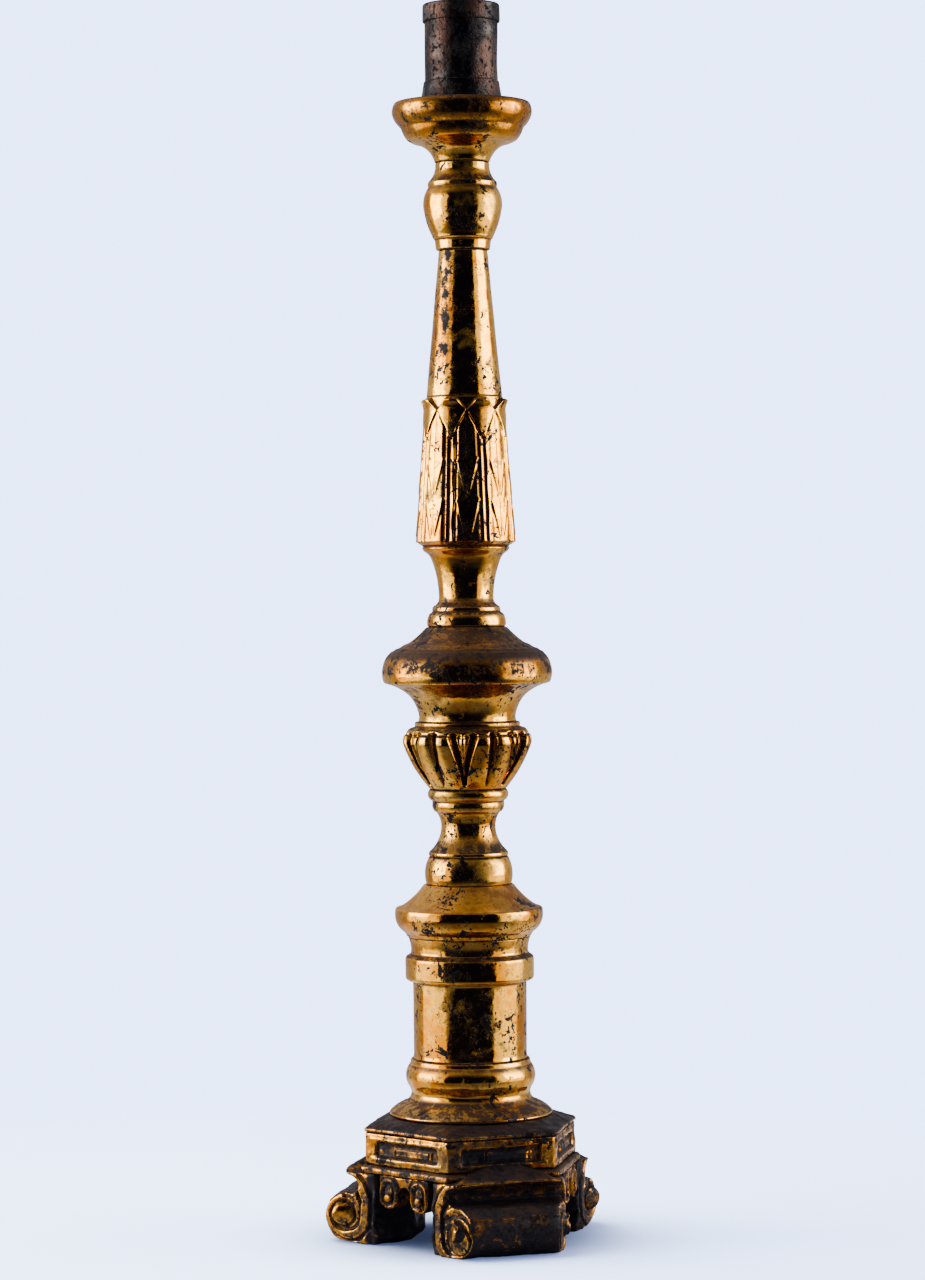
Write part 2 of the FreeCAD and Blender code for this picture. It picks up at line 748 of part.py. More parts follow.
turn("pricket", [
    ("shank_axis", 0, "shank_bottom"),
    ("shank_end", "shank_radius", "shank_bottom"),
    ("shank_root", "shank_radius", "plate_top"),
    ("spike_foot", "spike_radius", "plate_top"),
    ("spike_shoulder", "spike_radius", 722),
    ("point_side", 0.4, 735),
    ("point", 0, 735.3),
])

turn("pricket_plate", [
    ("hole_low", "shank_radius", "dish_floor"),
    ("rim_low", 14, "dish_floor"),
    ("rim_high", 14, "plate_top"),
    ("hole_high", "shank_radius", "plate_top"),
])

# the bore steps out below the floor, which is pushed up against that step and soldered
turn("socket_tube", [
    ("foot_bore_low", "floor_radius", "socket_bottom"),
    ("wall_low", "tube_outer_radius", "socket_bottom"),
    ("wall_high", "tube_outer_radius", "socket_top"),
    ("bore_high", "tube_bore_radius", "socket_top"),
    ("bore_low", "tube_bore_radius", "socket_floor_top"),
    ("foot_bore_high", "floor_radius", "socket_floor_top"),
])

turn("socket_rim_band", [
    ("wall_low", "tube_outer_radius", 768.5),
    ("edge_low", 23.9, 768.5),
    ("side_low", 24.3, 769, 0.1),
    ("side_high", 24.3, 778.8),
    ("wall_high", "tube_outer_radius", "socket_top", 0.3),
])

turn("socket_foot_ring", [
    ("wall_low", "tube_outer_radius", "socket_bottom"),
    ("rim_low", 28, "socket_bottom"),
    ("rim_high", 28, 709.3),
    ("cone_top", 23.9, 731, -0.3),
    ("wall_high", "tube_outer_radius", 731.4),
])

turn("socket_floor", [
    ("axis_low", 0, "socket_floor_bottom"),
    ("rim_low", "floor_radius", "socket_floor_bottom"),
    ("rim_high", "floor_radius", "socket_floor_top"),
    ("axis_high", 0, "socket_floor_top"),
])

turn("socket_sleeve", [
    ("bore_low", "sleeve_bore_radius", 711),
    ("wall_low", "sleeve_outer_radius", 711),
    ("wall_high", "sleeve_outer_radius", "socket_floor_bottom"),
    ("bore_high", "sleeve_bore_radius", "socket_floor_bottom"),
])

# --- carving on the leaf shaft and the cup ------------------------------------------------

size("leaf_count", 8)
size("leaf_turn", -15)
size("rib_groove_width", 1.6)
size("rib_left_swing", 17.5)
size("rib_right_swing", 27.5)
size("notch_face", 24.4)
size("notch_depth", 10)
LEAF_NOTCH = [
    ("point", 0, 525.5),
    ("right", 7, 533),
    ("left", -7, 533),
]
RIB_GROOVE = [
    ("inner_low", 29.9, 446),
    ("outer_low", 34, 440),
    ("outer_high", 29, 516),
    ("inner_high", 25.2, 512),
]
notch_sketch = new_sketch(leaf_shaft, "leaf_notch_outline", "XZ_Plane", "notch_face")
draw_outline(notch_sketch, corner_sizes("leaf_notch", ("across", "height"), LEAF_NOTCH))
notch = add_pocket(leaf_shaft, "leaf_notch", notch_sketch, "notch_depth", reverse=True)
add_polar(leaf_shaft, "leaf_notches", [notch], "leaf_count")
rib_outline = corner_sizes("rib_groove", ("out", "height"), RIB_GROOVE)
for side_word in ("left", "right"):
    groove_name = "rib_groove_" + side_word
    swing_name = "rib_%s_swing" % side_word
    groove_sketch = new_sketch(leaf_shaft, groove_name + "_outline", "YZ_Plane", swing=swing_name)
    draw_outline(groove_sketch, rib_outline)
    groove = add_pocket(
        leaf_shaft, groove_name, groove_sketch, "rib_groove_width", symmetric=True
    )
    add_polar(leaf_shaft, groove_name + "s", [groove], "leaf_count")
place(leaf_shaft, "leaf_turn")

size("petal_count", 6)
size("petal_turn", -22.6)
size("dart_groove_width", 2.6)
CUP_GROOVE = [
    ("inner_low", 25.4, 288.5),
    ("outer_low", 30, 284.9),
    ("outer_high", 44, 318),
    ("inner_high", 38.4, 317),
    ("inner_belly", 36.8, 308, 0.6),
]
groove_sketch = new_sketch(cup, "dart_groove_outline", "YZ_Plane")
draw_outline(groove_sketch, corner_sizes("dart_groove", ("out", "height"), CUP_GROOVE))
groove = add_pocket(cup, "dart_groove", groove_sketch, "dart_groove_width", symmetric=True)
add_polar(cup, "dart_grooves", [groove], "petal_count")
place(cup, "petal_turn")

# --- checks and files ---------------------------------------------------------------------

doc.recompute()
for item in doc.Objects:
    states = set(item.State)
    if "Invalid" in states or "Error" in states:
        raise RuntimeError("%s is %s" % (item.Label, item.State))

bodies = [item for item in doc.Objects if item.TypeId == "PartDesign::Body"]
os.makedirs("parts", exist_ok=True)
for body in bodies:
    shape = body.Shape
    if shape.isNull() or not shape.isValid() or shape.Volume <= 0:
        raise RuntimeError("%s has no valid shape" % body.Label)
    shape.exportStep("parts/%s.step" % body.Label)
    box = shape.BoundBox
    print("%-18s solids %d  volume %9.0f  z %6.1f to %6.1f  across %5.1f" % (
        body.Label, len(shape.Solids), shape.Volume, box.ZMin, box.ZMax, max(box.XLength, box.YLength)
    ))
print(len(bodies), "pieces,", len(sizes), "sizes")
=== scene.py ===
"""Altar candlestick in carved and gilded wood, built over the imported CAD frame.

Every turned piece takes its outline from a section through its own CAD node, and is carved and
roughened from there. Lengths in the carving code are millimetres; meshes are in metres.
"""

import bmesh
import bpy
import math
import numpy as np
from mathutils import Matrix, Quaternion, Vector


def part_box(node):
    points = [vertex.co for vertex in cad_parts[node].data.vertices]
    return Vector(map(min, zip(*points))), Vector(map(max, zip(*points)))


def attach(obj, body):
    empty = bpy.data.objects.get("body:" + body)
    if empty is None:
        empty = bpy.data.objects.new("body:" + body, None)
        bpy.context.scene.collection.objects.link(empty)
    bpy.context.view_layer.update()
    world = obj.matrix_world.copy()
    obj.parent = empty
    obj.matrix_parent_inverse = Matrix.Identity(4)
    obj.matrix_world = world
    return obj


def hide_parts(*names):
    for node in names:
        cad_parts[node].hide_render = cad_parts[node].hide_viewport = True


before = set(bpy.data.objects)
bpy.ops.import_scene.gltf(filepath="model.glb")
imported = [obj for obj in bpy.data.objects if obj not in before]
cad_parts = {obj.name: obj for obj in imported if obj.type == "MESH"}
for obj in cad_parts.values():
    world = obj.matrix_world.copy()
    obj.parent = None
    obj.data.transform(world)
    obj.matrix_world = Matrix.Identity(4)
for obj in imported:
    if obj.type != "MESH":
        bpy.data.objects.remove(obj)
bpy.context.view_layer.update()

MM = 0.001
CAMERA_AZIMUTH = -18
STAND = "stand"
SOCKET = "candle_socket_unit"


# --- smooth random fields -----------------------------------------------------------------

LATTICE = 32
lattices = {}


def waves(points, size, seed):
    """Smooth noise between -1 and 1 at points in mm, with features of about this size in mm."""
    if seed not in lattices:
        lattices[seed] = np.random.default_rng(seed).uniform(-1, 1, (LATTICE,) * 3)
    lattice = lattices[seed]
    spot = np.asarray(points) / size + 100.37
    cell = np.floor(spot).astype(int)
    part = spot - cell
    part = part * part * (3 - 2 * part)
    total = 0
    for dx in (0, 1):
        for dy in (0, 1):
            for dz in (0, 1):
                weight = (
                    np.where(dx, part[..., 0], 1 - part[..., 0])
                    * np.where(dy, part[..., 1], 1 - part[..., 1])
                    * np.where(dz, part[..., 2], 1 - part[..., 2])
                )
                corner = (cell + (dx, dy, dz)) % LATTICE
                total = total + weight * lattice[corner[..., 0], corner[..., 1], corner[..., 2]]
    return total


def step_up(value, low, high):
    """0 below low, 1 above high, and a smooth rise between them; low may be the larger."""
    part = np.clip((value - low) / (high - low), 0, 1)
    return part * part * (3 - 2 * part)


def groove(distance, half_width):
    """A round-bottomed groove or ridge: 1 at distance 0, 0 at half_width and beyond."""
    part = np.clip(1 - np.abs(distance) / half_width, 0, 1)
    return part * part * (3 - 2 * part)


# --- outlines from the CAD frame ----------------------------------------------------------


def section(node, azimuth=0.0):
    """The outline of a CAD node cut by a half plane from the axis: (radius, height) in mm.

    Azimuth 0 is -Y and 90 is +X. Returns the points in order and whether the outline is closed.
    """
    cut = bmesh.new()
    cut.from_mesh(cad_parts[node].data)
    bmesh.ops.remove_doubles(cut, verts=cut.verts, dist=1e-6)
    bmesh.ops.rotate(
        cut, verts=cut.verts, cent=(0, 0, 0), matrix=Matrix.Rotation(math.radians(90 - azimuth), 3, "Z")
    )
    everything = cut.verts[:] + cut.edges[:] + cut.faces[:]
    bmesh.ops.bisect_plane(cut, geom=everything, plane_co=(0, 0, 0), plane_no=(1, 0, 0), clear_inner=True)
    everything = cut.verts[:] + cut.edges[:] + cut.faces[:]
    found = bmesh.ops.bisect_plane(cut, geom=everything, plane_co=(0, 0, 0), plane_no=(0, 1, 0))
    neighbours = {}
    for edge in found["geom_cut"]:
        if isinstance(edge, bmesh.types.BMEdge):
            first, second = edge.verts
            neighbours.setdefault(first, []).append(second)
            neighbours.setdefault(second, []).append(first)
    chains, left = [], set(neighbours)
    while left:
        ends = [vert for vert in left if len(neighbours[vert]) == 1]
        chain = [min(ends or left, key=lambda vert: (vert.co.z, vert.co.x))]
        left.discard(chain[0])
        onward = [vert for vert in neighbours[chain[0]] if vert in left]
        while onward:
            chain.append(onward[0])
            left.discard(onward[0])
            onward = [vert for vert in neighbours[chain[-1]] if vert in left]
        chains.append((chain, not ends))
    seen, closed = max(chains, key=lambda found_chain: len(found_chain[0]))
    points = np.array([(max(vert.co.x, 0) / MM, vert.co.z / MM) for vert in seen])
    cut.free()
    return points, closed


def even_points(points, closed, hidden_radius, fine=0.7, coarse=6.0, soften=3):
    """Thin out and refill an outline at an even spacing, and soften its corners.

    Inside hidden_radius, where tenons and sockets are never seen, it stays coarse and sharp.
    """
    loop = list(points) + ([points[0]] if closed else [])
    kept = [loop[0]]
    for i in range(1, len(loop) - 1):
        before, here, after = kept[-1], loop[i], loop[i + 1]
        gone, coming = here - before, after - here
        if min(np.hypot(*gone), np.hypot(*coming)) < 1e-4:
            continue
        bend = abs(math.atan2(gone[0] * coming[1] - gone[1] * coming[0], float(np.dot(gone, coming))))
        if np.hypot(*gone) > 0.5 * fine or bend > 0.3:
            kept.append(here)
    if not closed:
        kept.append(loop[-1])
    ring = kept + ([kept[0]] if closed else [])
    dense = []
    for start, end in zip(ring, ring[1:]):
        inside = max(start[0], end[0]) <= hidden_radius
        length = float(np.hypot(*(end - start)))
        pieces = max(1, math.ceil(length / (coarse if inside else fine)))
        dense += [start + (end - start) * k / pieces for k in range(pieces)]
    if not closed:
        dense.append(ring[-1])
    dense = np.array(dense)
    for _ in range(soften):
        mean = (np.roll(dense, 1, 0) + np.roll(dense, -1, 0)) / 2
        seen = dense[:, 0] > hidden_radius
        if not closed:
            seen[0] = seen[-1] = False
        dense = np.where(seen[:, None], (dense + mean) / 2, dense)
    return dense


# --- meshes -------------------------------------------------------------------------------


def finish_piece(name, mesh, node, body, material):
    """Put a new mesh in the scene in place of a CAD node."""
    mesh.materials.clear()
    mesh.materials.append(material)
    mesh.shade_smooth()
    piece = bpy.data.objects.new(name, mesh)
    bpy.context.scene.collection.objects.link(piece)
    store_relief(mesh)
    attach(piece, body)
    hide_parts(node)
    return piece


def edge_array(mesh):
    edges = np.empty(len(mesh.edges) * 2, np.int32)
    mesh.edges.foreach_get("vertices", edges)
    return edges.reshape(-1, 2)


def coordinates(mesh):
    co = np.empty(len(mesh.vertices) * 3, np.float32)
    mesh.vertices.foreach_get("co", co)
    return co.reshape(-1, 3).astype(float)


def normals(mesh):
    found = np.empty(len(mesh.vertices) * 3, np.float32)
    mesh.vertex_normals.foreach_get("vector", found)
    return found.reshape(-1, 3).astype(float)


def spread(values, edges, count, rounds):
    """Average values over the mesh's edges, this many times."""
    degree = np.bincount(edges.ravel(), minlength=count).astype(float)
    degree[degree == 0] = 1
    for _ in range(rounds):
        total = np.bincount(edges[:, 0], values[edges[:, 1]], count)
        total += np.bincount(edges[:, 1], values[edges[:, 0]], count)
        values = 0.5 * values + 0.5 * total / degree
    return values


def store(mesh, word, values):
    """Keep one number for each vertex, for a material to read by this name."""
    layer = mesh.attributes.new(word, "FLOAT", "POINT")
    layer.data.foreach_set("value", np.asarray(values, np.float32))


def store_relief(mesh):
    """Store how hollow (-1) or raised (+1) the surface is at each vertex, fine and broad."""
    edges, co, up = edge_array(mesh), coordinates(mesh) / MM, normals(mesh)
    count = len(co)
    degree = np.bincount(edges.ravel(), minlength=count).astype(float)
    degree[degree == 0] = 1
    mean = np.stack([
        (
            np.bincount(edges[:, 0], co[edges[:, 1], k], count)
            + np.bincount(edges[:, 1], co[edges[:, 0], k], count)
        )
        / degree
        for k in range(3)
    ], 1)
    reach = np.linalg.norm(co[edges[:, 0]] - co[edges[:, 1]], axis=1)
    span = (np.bincount(edges[:, 0], reach**2, count) + np.bincount(edges[:, 1], reach**2, count)) / degree
    bend = ((co - mean) * up).sum(1) / np.maximum(span, 0.04)
    for word, rounds, gain in (("relief", 4, 4.0), ("broad", 40, 14.0)):
        store(mesh, word, np.tanh(gain * spread(bend, edges, count, rounds)))
    soil = np.zeros(count)
    for seam in joint_heights:
        soil = np.maximum(soil, groove(co[:, 2] - seam, 1.1))
    store(mesh, "seam", soil * (0.75 + 0.5 * waves(co, 6, 71)))


def grid_mesh(name, rings, closed):
    """A mesh from rings of points in mm, shaped (ring, around, 3); end rings of no width become poles."""
    count = rings.shape[1]
    verts, index = [], []
    for ring in rings:
        if not closed and np.hypot(ring[:, 0], ring[:, 1]).max() < 1e-4:
            index.append([len(verts)] * count)
            verts.append(ring[0] * MM)
        else:
            index.append(list(range(len(verts), len(verts) + count)))
            verts.extend(ring * MM)
    faces = []
    last = len(index) if closed else len(index) - 1
    for i in range(last):
        low, high = index[i], index[(i + 1) % len(index)]
        for j in range(count):
            k = (j + 1) % count
            corners = []
            for corner in (low[j], low[k], high[k], high[j]):
                if corner not in corners:
                    corners.append(corner)
            if len(corners) > 2:
                faces.append(corners)
    mesh = bpy.data.meshes.new(name)
    mesh.from_pydata([tuple(vert) for vert in verts], [], faces)
    face_outward(mesh)
    return mesh


def face_outward(mesh):
    """Turn a closed mesh's faces outward."""
    work = bmesh.new()
    work.from_mesh(mesh)
    if work.calc_volume(signed=True) < 0:
        bmesh.ops.reverse_faces(work, faces=work.faces)
    work.to_mesh(mesh)
    work.free()
    mesh.update()


def turned(node, carve=None, azimuth=0.0, hidden_radius=10.2, count=224, fine=0.7, wobble=0.12, seed=1):
    """Revolve a node's own section into rings of points, then carve and roughen them.

    carve takes (azimuth in degrees, radius, height) and returns the new radius.
    """
    points, closed = section(node, azimuth)
    loop = even_points(points, closed, hidden_radius, fine)
    angles = np.repeat((np.arange(count) * 360 / count)[None], len(loop), 0)
    radius, height = np.repeat(loop[:, :1], count, 1), np.repeat(loop[:, 1:], count, 1)
    if carve:
        radius = carve(angles, radius, height)
    turn = np.radians(angles)
    spots = np.stack([radius * np.sin(turn), -radius * np.cos(turn), height], -1)
    seen = step_up(radius, hidden_radius, hidden_radius + 2)
    push = wobble * (
        waves(spots, 26, seed) + 0.5 * waves(spots, 9, seed + 1) + 0.22 * waves(spots, 3.2, seed + 2)
    )
    radius = radius + push * seen
    spots[..., 0], spots[..., 1] = radius * np.sin(turn), -radius * np.cos(turn)
    return grid_mesh(node, spots, closed)


# --- the turned column --------------------------------------------------------------------

LEAF_COUNT = 8
LEAF_MIDDLE = -37.5
LEAF_DEPTHS = (1.0, 0.3, 0.7, 0.45, 0.9, 0.5, 0.75, 0.6)
LEAF_CORE = 24.2
PETAL_COUNT = 6
DART_TURN = -22.6


def from_nearest(angles, first, count):
    """Degrees from the nearest of so many evenly spaced directions, and which one it is."""
    step = 360 / count
    which = np.round((angles - first) / step)
    return angles - first - which * step, which.astype(int) % count


def line_between(across, height, start, end, half_width):
    """A straight ridge from start to end, each (across, height): 1 on the line, 0 beside it."""
    run_across, run_up = end[0] - start[0], end[1] - start[1]
    part = ((across - start[0]) * run_across + (height - start[1]) * run_up) / (run_across**2 + run_up**2)
    part = np.clip(part, 0, 1)
    apart = np.hypot(across - start[0] - part * run_across, height - start[1] - part * run_up)
    return groove(apart, half_width)


def carve_leaves(angles, radius, height):
    """Eight upright leaves: a double midrib, side veins, an overturned tip and notches between tips."""
    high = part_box("tapered_shaft")[0].z / MM
    core = LEAF_CORE
    ledge, rib_top, notch_low = high - 92.5, high - 25, high - 8.5
    outer = radius > core - 4
    line_low, line_high = ledge + 12, ledge + 50
    radius_low = radius[outer & (np.abs(height - line_low) < 1)].mean()
    radius_high = radius[outer & (np.abs(height - line_high) < 1)].mean()
    straight = radius_low + (radius_high - radius_low) * (height - line_low) / (line_high - line_low)
    square = outer * step_up(height, ledge, ledge + 1.4) * (height < line_low)
    radius = radius + square * np.clip(straight - radius, 0, 2.5)
    radius = radius - outer * 1.5 * groove(height - ledge + 1.6, 1.6)
    turn, which = from_nearest(angles, LEAF_MIDDLE, LEAF_COUNT)
    across = np.radians(turn) * radius
    half = np.radians(180 / LEAF_COUNT) * np.maximum(radius, 1)
    sway = np.sin(which * 2.3) * 0.5
    body = step_up(height, ledge - 0.5, ledge + 2) * step_up(radius, core - 2, core)
    side = np.abs(across)
    push = np.zeros_like(radius)
    rise = np.clip((side - 1.6) / (half - 1.8), 0, 1) ** (0.75 + 0.2 * sway)
    fold_line = rib_top + (notch_low - rib_top) * rise
    under = 1 - step_up(height, fold_line - 1.2, fold_line + 0.4)
    wavy = 0.55 * np.sin(height / 4.3 + which) * (across > 0)
    rib = groove(side - 2.0 - wavy, 0.85)
    trough = groove(side - 4.0, 1.5) * np.where(across > 0, 0.6, 1.0)
    middle = groove(across, 1.5)
    depth = np.array(LEAF_DEPTHS)[which]
    push += under * (depth * (0.6 * rib - 1.2 * trough) - 0.6 * middle)
    for offset, sign in ((0, 1), (1.4, -1)):
        for top, fall in ((high - 41 + sway, 20), (high - 66 - sway, 21)):
            start = (sign * 4.4, top + offset)
            end = (sign * 10.2, top - fall + offset)
            push += under * 0.55 * line_between(across, height, start, end, 1.7)
            push -= under * 0.5 * line_between(across, height + 2.2, start, end, 1.8)
    push -= under * 0.3 * groove(half - side, 1.2)
    push += (1 - under) * 0.55
    push += 1.3 * step_up(height, high - 9, high - 1) * (1 - np.clip(side / half, 0, 1))
    push -= 0.75 * groove(height - fold_line + 1.3, 1.5) * (side < half - 0.8)
    gap = np.radians(180 / LEAF_COUNT - np.abs(turn)) * radius
    notch_line = notch_low + 7.0 * np.clip(gap / 6.6, 0, 1) ** 1.2
    radius = radius + push * body
    cut = step_up(height, notch_line - 0.6, notch_line + 0.8) * (height <= high + 0.4)
    inside = core + 0.05 * (radius - core)
    return np.where(radius > core, radius + (inside - radius) * cut, radius)


def carve_petals(angles, radius, height):
    """Six double petals round the cup, parted by darts that are wide above and pointed below."""
    low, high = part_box("gadrooned_cup")[0].z / MM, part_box("disc_cap")[0].z / MM
    turn, which = from_nearest(angles, DART_TURN, PETAL_COUNT)
    across = np.radians(turn) * np.maximum(radius, 25)
    half = np.radians(180 / PETAL_COUNT) * np.maximum(radius, 25)
    side = np.abs(across)
    top, tip = high - 9.5, low + 5.5
    zone = step_up(height, low + 1.5, low + 6) * step_up(height, high - 5.2, high - 8.6) * (radius > 17)
    width = 0.4 + 6.8 * np.clip((height - tip) / (top - tip), 0, 1) ** 1.3
    valley = groove(side - width, 1.6 + 0.25 * width)
    within = 1 - step_up(side, width - 0.8, width + 0.4)
    from_middle = half - side
    upper = step_up(height, low + 8, top - 4)
    crease = groove(from_middle, 1.4 + 3.0 * upper)
    finger = np.clip((side - width) / (half - width), 0, 1) * 2 - 1
    round_over = np.sqrt(np.clip(1 - finger**2, 0, 1))
    deep = 0.45 + 0.55 * step_up(height, low + 3, low + 14)
    push = -3.5 * valley - 2.0 * within + 1.5 * groove(across, 1.6 + 0.1 * width) * within
    push += deep * (3.2 * round_over - 2.3) * (1 - within) - (0.8 + 2.4 * upper) * crease
    edge = groove(height - high + 7.6 + 1.4 * groove(across, 8), 1.5)
    return radius + zone * push - 0.6 * edge * (radius > 25)


def chipped_side(place):
    """The left of the tapered shaft has lost much of its leaf, to the eye of someone in front."""
    turn = np.degrees(np.arctan2(place[:, 0], -place[:, 1]))
    low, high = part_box("tapered_shaft")[0].z / MM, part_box("upper_knop")[0].z / MM
    around = groove(turn - CAMERA_AZIMUTH + 38, 25)
    return 0.62 * around * step_up(place[:, 2], low + 5, low + 30) * (place[:, 2] < high)


DISC_STEP = 15.5  # mm above the disc's widest place


def carve_disc(angles, radius, height):
    """A low step turned in the cone above the disc's rim."""
    step = height[radius > radius.max() - 0.05].mean() + DISC_STEP
    outer = radius > 18
    rise = np.clip((height - step + 11) / 11, 0, 1) * step_up(height, step + 0.5, step - 0.5)
    return radius + outer * (0.9 * rise - 0.5 * groove(height - step - 1.0, 1.3))


def worn_disc(place):
    """The disc's rim is rubbed and chipped, and the cone over it less so; the neck under it is clean."""
    widest = place[np.argmax(np.hypot(place[:, 0], place[:, 1])), 2]
    rim = step_up(place[:, 2], widest - 2.5, widest + 1)
    return rim * (0.46 - 0.26 * step_up(place[:, 2], widest + DISC_STEP - 1, widest + DISC_STEP + 1))


def worn_pan(place):
    """The drip pan is rubbed and spotted above its neck."""
    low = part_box("drip_pan")[0].z / MM
    return 0.36 * step_up(place[:, 2], low + 13, low + 18)


def dented(angles, radius, height):
    """Old sheet metal: long shallow dents, the same inside and out."""
    turn = np.radians(angles)
    spots = np.stack([23 * np.sin(turn), -23 * np.cos(turn), height * 0.7], -1)
    foot_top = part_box("socket_foot_ring")[1].z / MM
    loose = step_up(height, foot_top, foot_top + 12)
    return radius + loose * (0.42 * waves(spots, 21, 61) - 0.12)


COLUMN_TENON, TENON = 16.2, 10.2
PETAL_MIDDLE = DART_TURN + 180 / PETAL_COUNT

turned_parts = (
    ("column_base", dict(hidden_radius=COLUMN_TENON, wobble=0.16)),
    ("column_drum", dict(hidden_radius=COLUMN_TENON, wobble=0.16)),
    ("column_cap", dict(hidden_radius=TENON, wobble=0.18)),
    ("baluster_ring", dict(hidden_radius=TENON, wobble=0.14)),
    ("baluster_neck", dict(hidden_radius=TENON, wobble=0.14)),
    ("gadrooned_cup", dict(carve=carve_petals, azimuth=PETAL_MIDDLE, count=400, fine=0.55, wobble=0.16)),
    ("disc_cap", dict(carve=carve_disc, hidden_radius=TENON, wobble=0.2)),
    ("leaf_shaft", dict(carve=carve_leaves, azimuth=LEAF_MIDDLE, count=300, fine=0.66, wobble=0.13)),
    ("tapered_shaft", dict(hidden_radius=TENON, wobble=0.2)),
    ("upper_knop", dict(hidden_radius=TENON, wobble=0.13)),
    ("drip_pan", dict(hidden_radius=TENON, wobble=0.2)),
)
socket_parts = (
    ("socket_tube", dict(carve=dented, hidden_radius=1, wobble=0.09, fine=0.9)),
    ("socket_rim_band", dict(carve=dented, hidden_radius=1, wobble=0.2, fine=0.6)),
    ("socket_foot_ring", dict(hidden_radius=1, wobble=0.12, fine=0.6)),
)
worn_parts = {"tapered_shaft": chipped_side, "disc_cap": worn_disc, "drip_pan": worn_pan}
# How far a part is kept clear of the dust and painted shade on upward slopes.
clear_of_dust_and_shade_parts = {"column_cap": 0.28}
iron_parts = (
    ("pricket", dict(hidden_radius=1, wobble=0.12, count=64, fine=0.8)),
    ("pricket_plate", dict(hidden_radius=1, wobble=0.08, count=96, fine=0.6)),
)


# --- the carved base ----------------------------------------------------------------------


def remeshed(node, voxel, rounds):
    """An even, closed copy of a node's mesh with its corners softened; voxel is in mm."""
    work = bmesh.new()
    work.from_mesh(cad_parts[node].data)
    bmesh.ops.remove_doubles(work, verts=work.verts, dist=1e-6)
    mesh = bpy.data.meshes.new(node)
    work.to_mesh(mesh)
    work.free()
    rough = bpy.data.objects.new("remesh_source", mesh)
    bpy.context.scene.collection.objects.link(rough)
    remesh = rough.modifiers.new("remesh", "REMESH")
    remesh.mode, remesh.voxel_size, remesh.adaptivity = "VOXEL", voxel * MM, 0
    depsgraph = bpy.context.evaluated_depsgraph_get()
    fine = bpy.data.meshes.new_from_object(rough.evaluated_get(depsgraph))
    bpy.data.objects.remove(rough)
    fine.name = node
    edges, co = edge_array(fine), coordinates(fine)
    co = np.stack([spread(co[:, k], edges, len(co), rounds) for k in range(3)], 1)
    fine.vertices.foreach_set("co", co.astype(np.float32).ravel())
    fine.update()
    return fine


def carved(node, azimuth, carve, bare, voxel=0.65, rounds=3, wobble=0.3, seed=5):
    """Push a remeshed node's surface in and out by carve(across, outward, height, normal).

    bare, of the same places, says how far the leaf has gone there, and is stored on the mesh.
    """
    mesh = remeshed(node, voxel, rounds)
    turn = math.radians(azimuth)
    spin = np.array([[math.cos(turn), math.sin(turn), 0], [math.sin(turn), -math.cos(turn), 0], [0, 0, 1]])
    low, high = (np.array(corner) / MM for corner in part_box(node))
    for passes in range(2):
        co, up = coordinates(mesh) / MM, normals(mesh)
        place, facing = co @ spin.T, up @ spin.T
        if passes == 0:
            push = carve(place[:, 0], place[:, 1], place[:, 2], facing) if carve else np.zeros(len(co))
        else:
            push = wobble * (
                waves(co, 14, seed) + 0.6 * waves(co, 6, seed + 1) + 0.3 * waves(co, 2.4, seed + 2)
            )
            gone = bare(place[:, 0], place[:, 1], place[:, 2], facing)
        co = np.clip(co + up * push[:, None], low - 0.6, high + 0.6)
        co[:, 2] = np.clip(co[:, 2], max(low[2], 0), high[2])
        mesh.vertices.foreach_set("co", (co * MM).astype(np.float32).ravel())
        mesh.update()
    store(mesh, "bare", gone)
    if node.startswith("foot"):
        # The flanks of the feet get less of the dust and painted shade on upward slopes.
        store(mesh, "clear_of_dust_and_shade", 0.75 * step_up(np.abs(facing[:, 0]), 0.25, 0.6))
    return mesh


def near_path(across, along, path):
    """Distance of every point from a line through the path's points."""
    best = np.full(len(across), 1e9)
    for start, end in zip(path, path[1:]):
        run = np.subtract(end, start)
        part = np.clip(((across - start[0]) * run[0] + (along - start[1]) * run[1]) / float(run @ run), 0, 1)
        best = np.minimum(best, np.hypot(across - start[0] - part * run[0], along - start[1] - part * run[1]))
    return best


LIP_OUT, LIP_HEIGHT = 71, 45
# each eye: how far out, how high, radius
SIDE_EYE = (75.5, 18.5, 7.5)
FRONT_EYE = (77, 12.2, 9)


def scroll_path(eye):
    """The band on a foot's side: down from the lip, under the roll, up its front and over the eye."""
    eye_out, eye_height, eye_radius = eye
    points = [(LIP_OUT - 1, LIP_HEIGHT), (LIP_OUT - 8, LIP_HEIGHT - 8), (LIP_OUT - 12, LIP_HEIGHT - 17)]
    steps = 28
    for k in range(steps):
        turn = math.radians(170 + 10 * k)
        left = 1 - k / (steps - 1)
        reach = eye_radius + 3.1 + 2.9 * left
        middle = (eye_out - 2.4 * left, eye_height - 1.6 * left)
        points.append((middle[0] + reach * math.cos(turn), middle[1] + reach * math.sin(turn)))
    return points


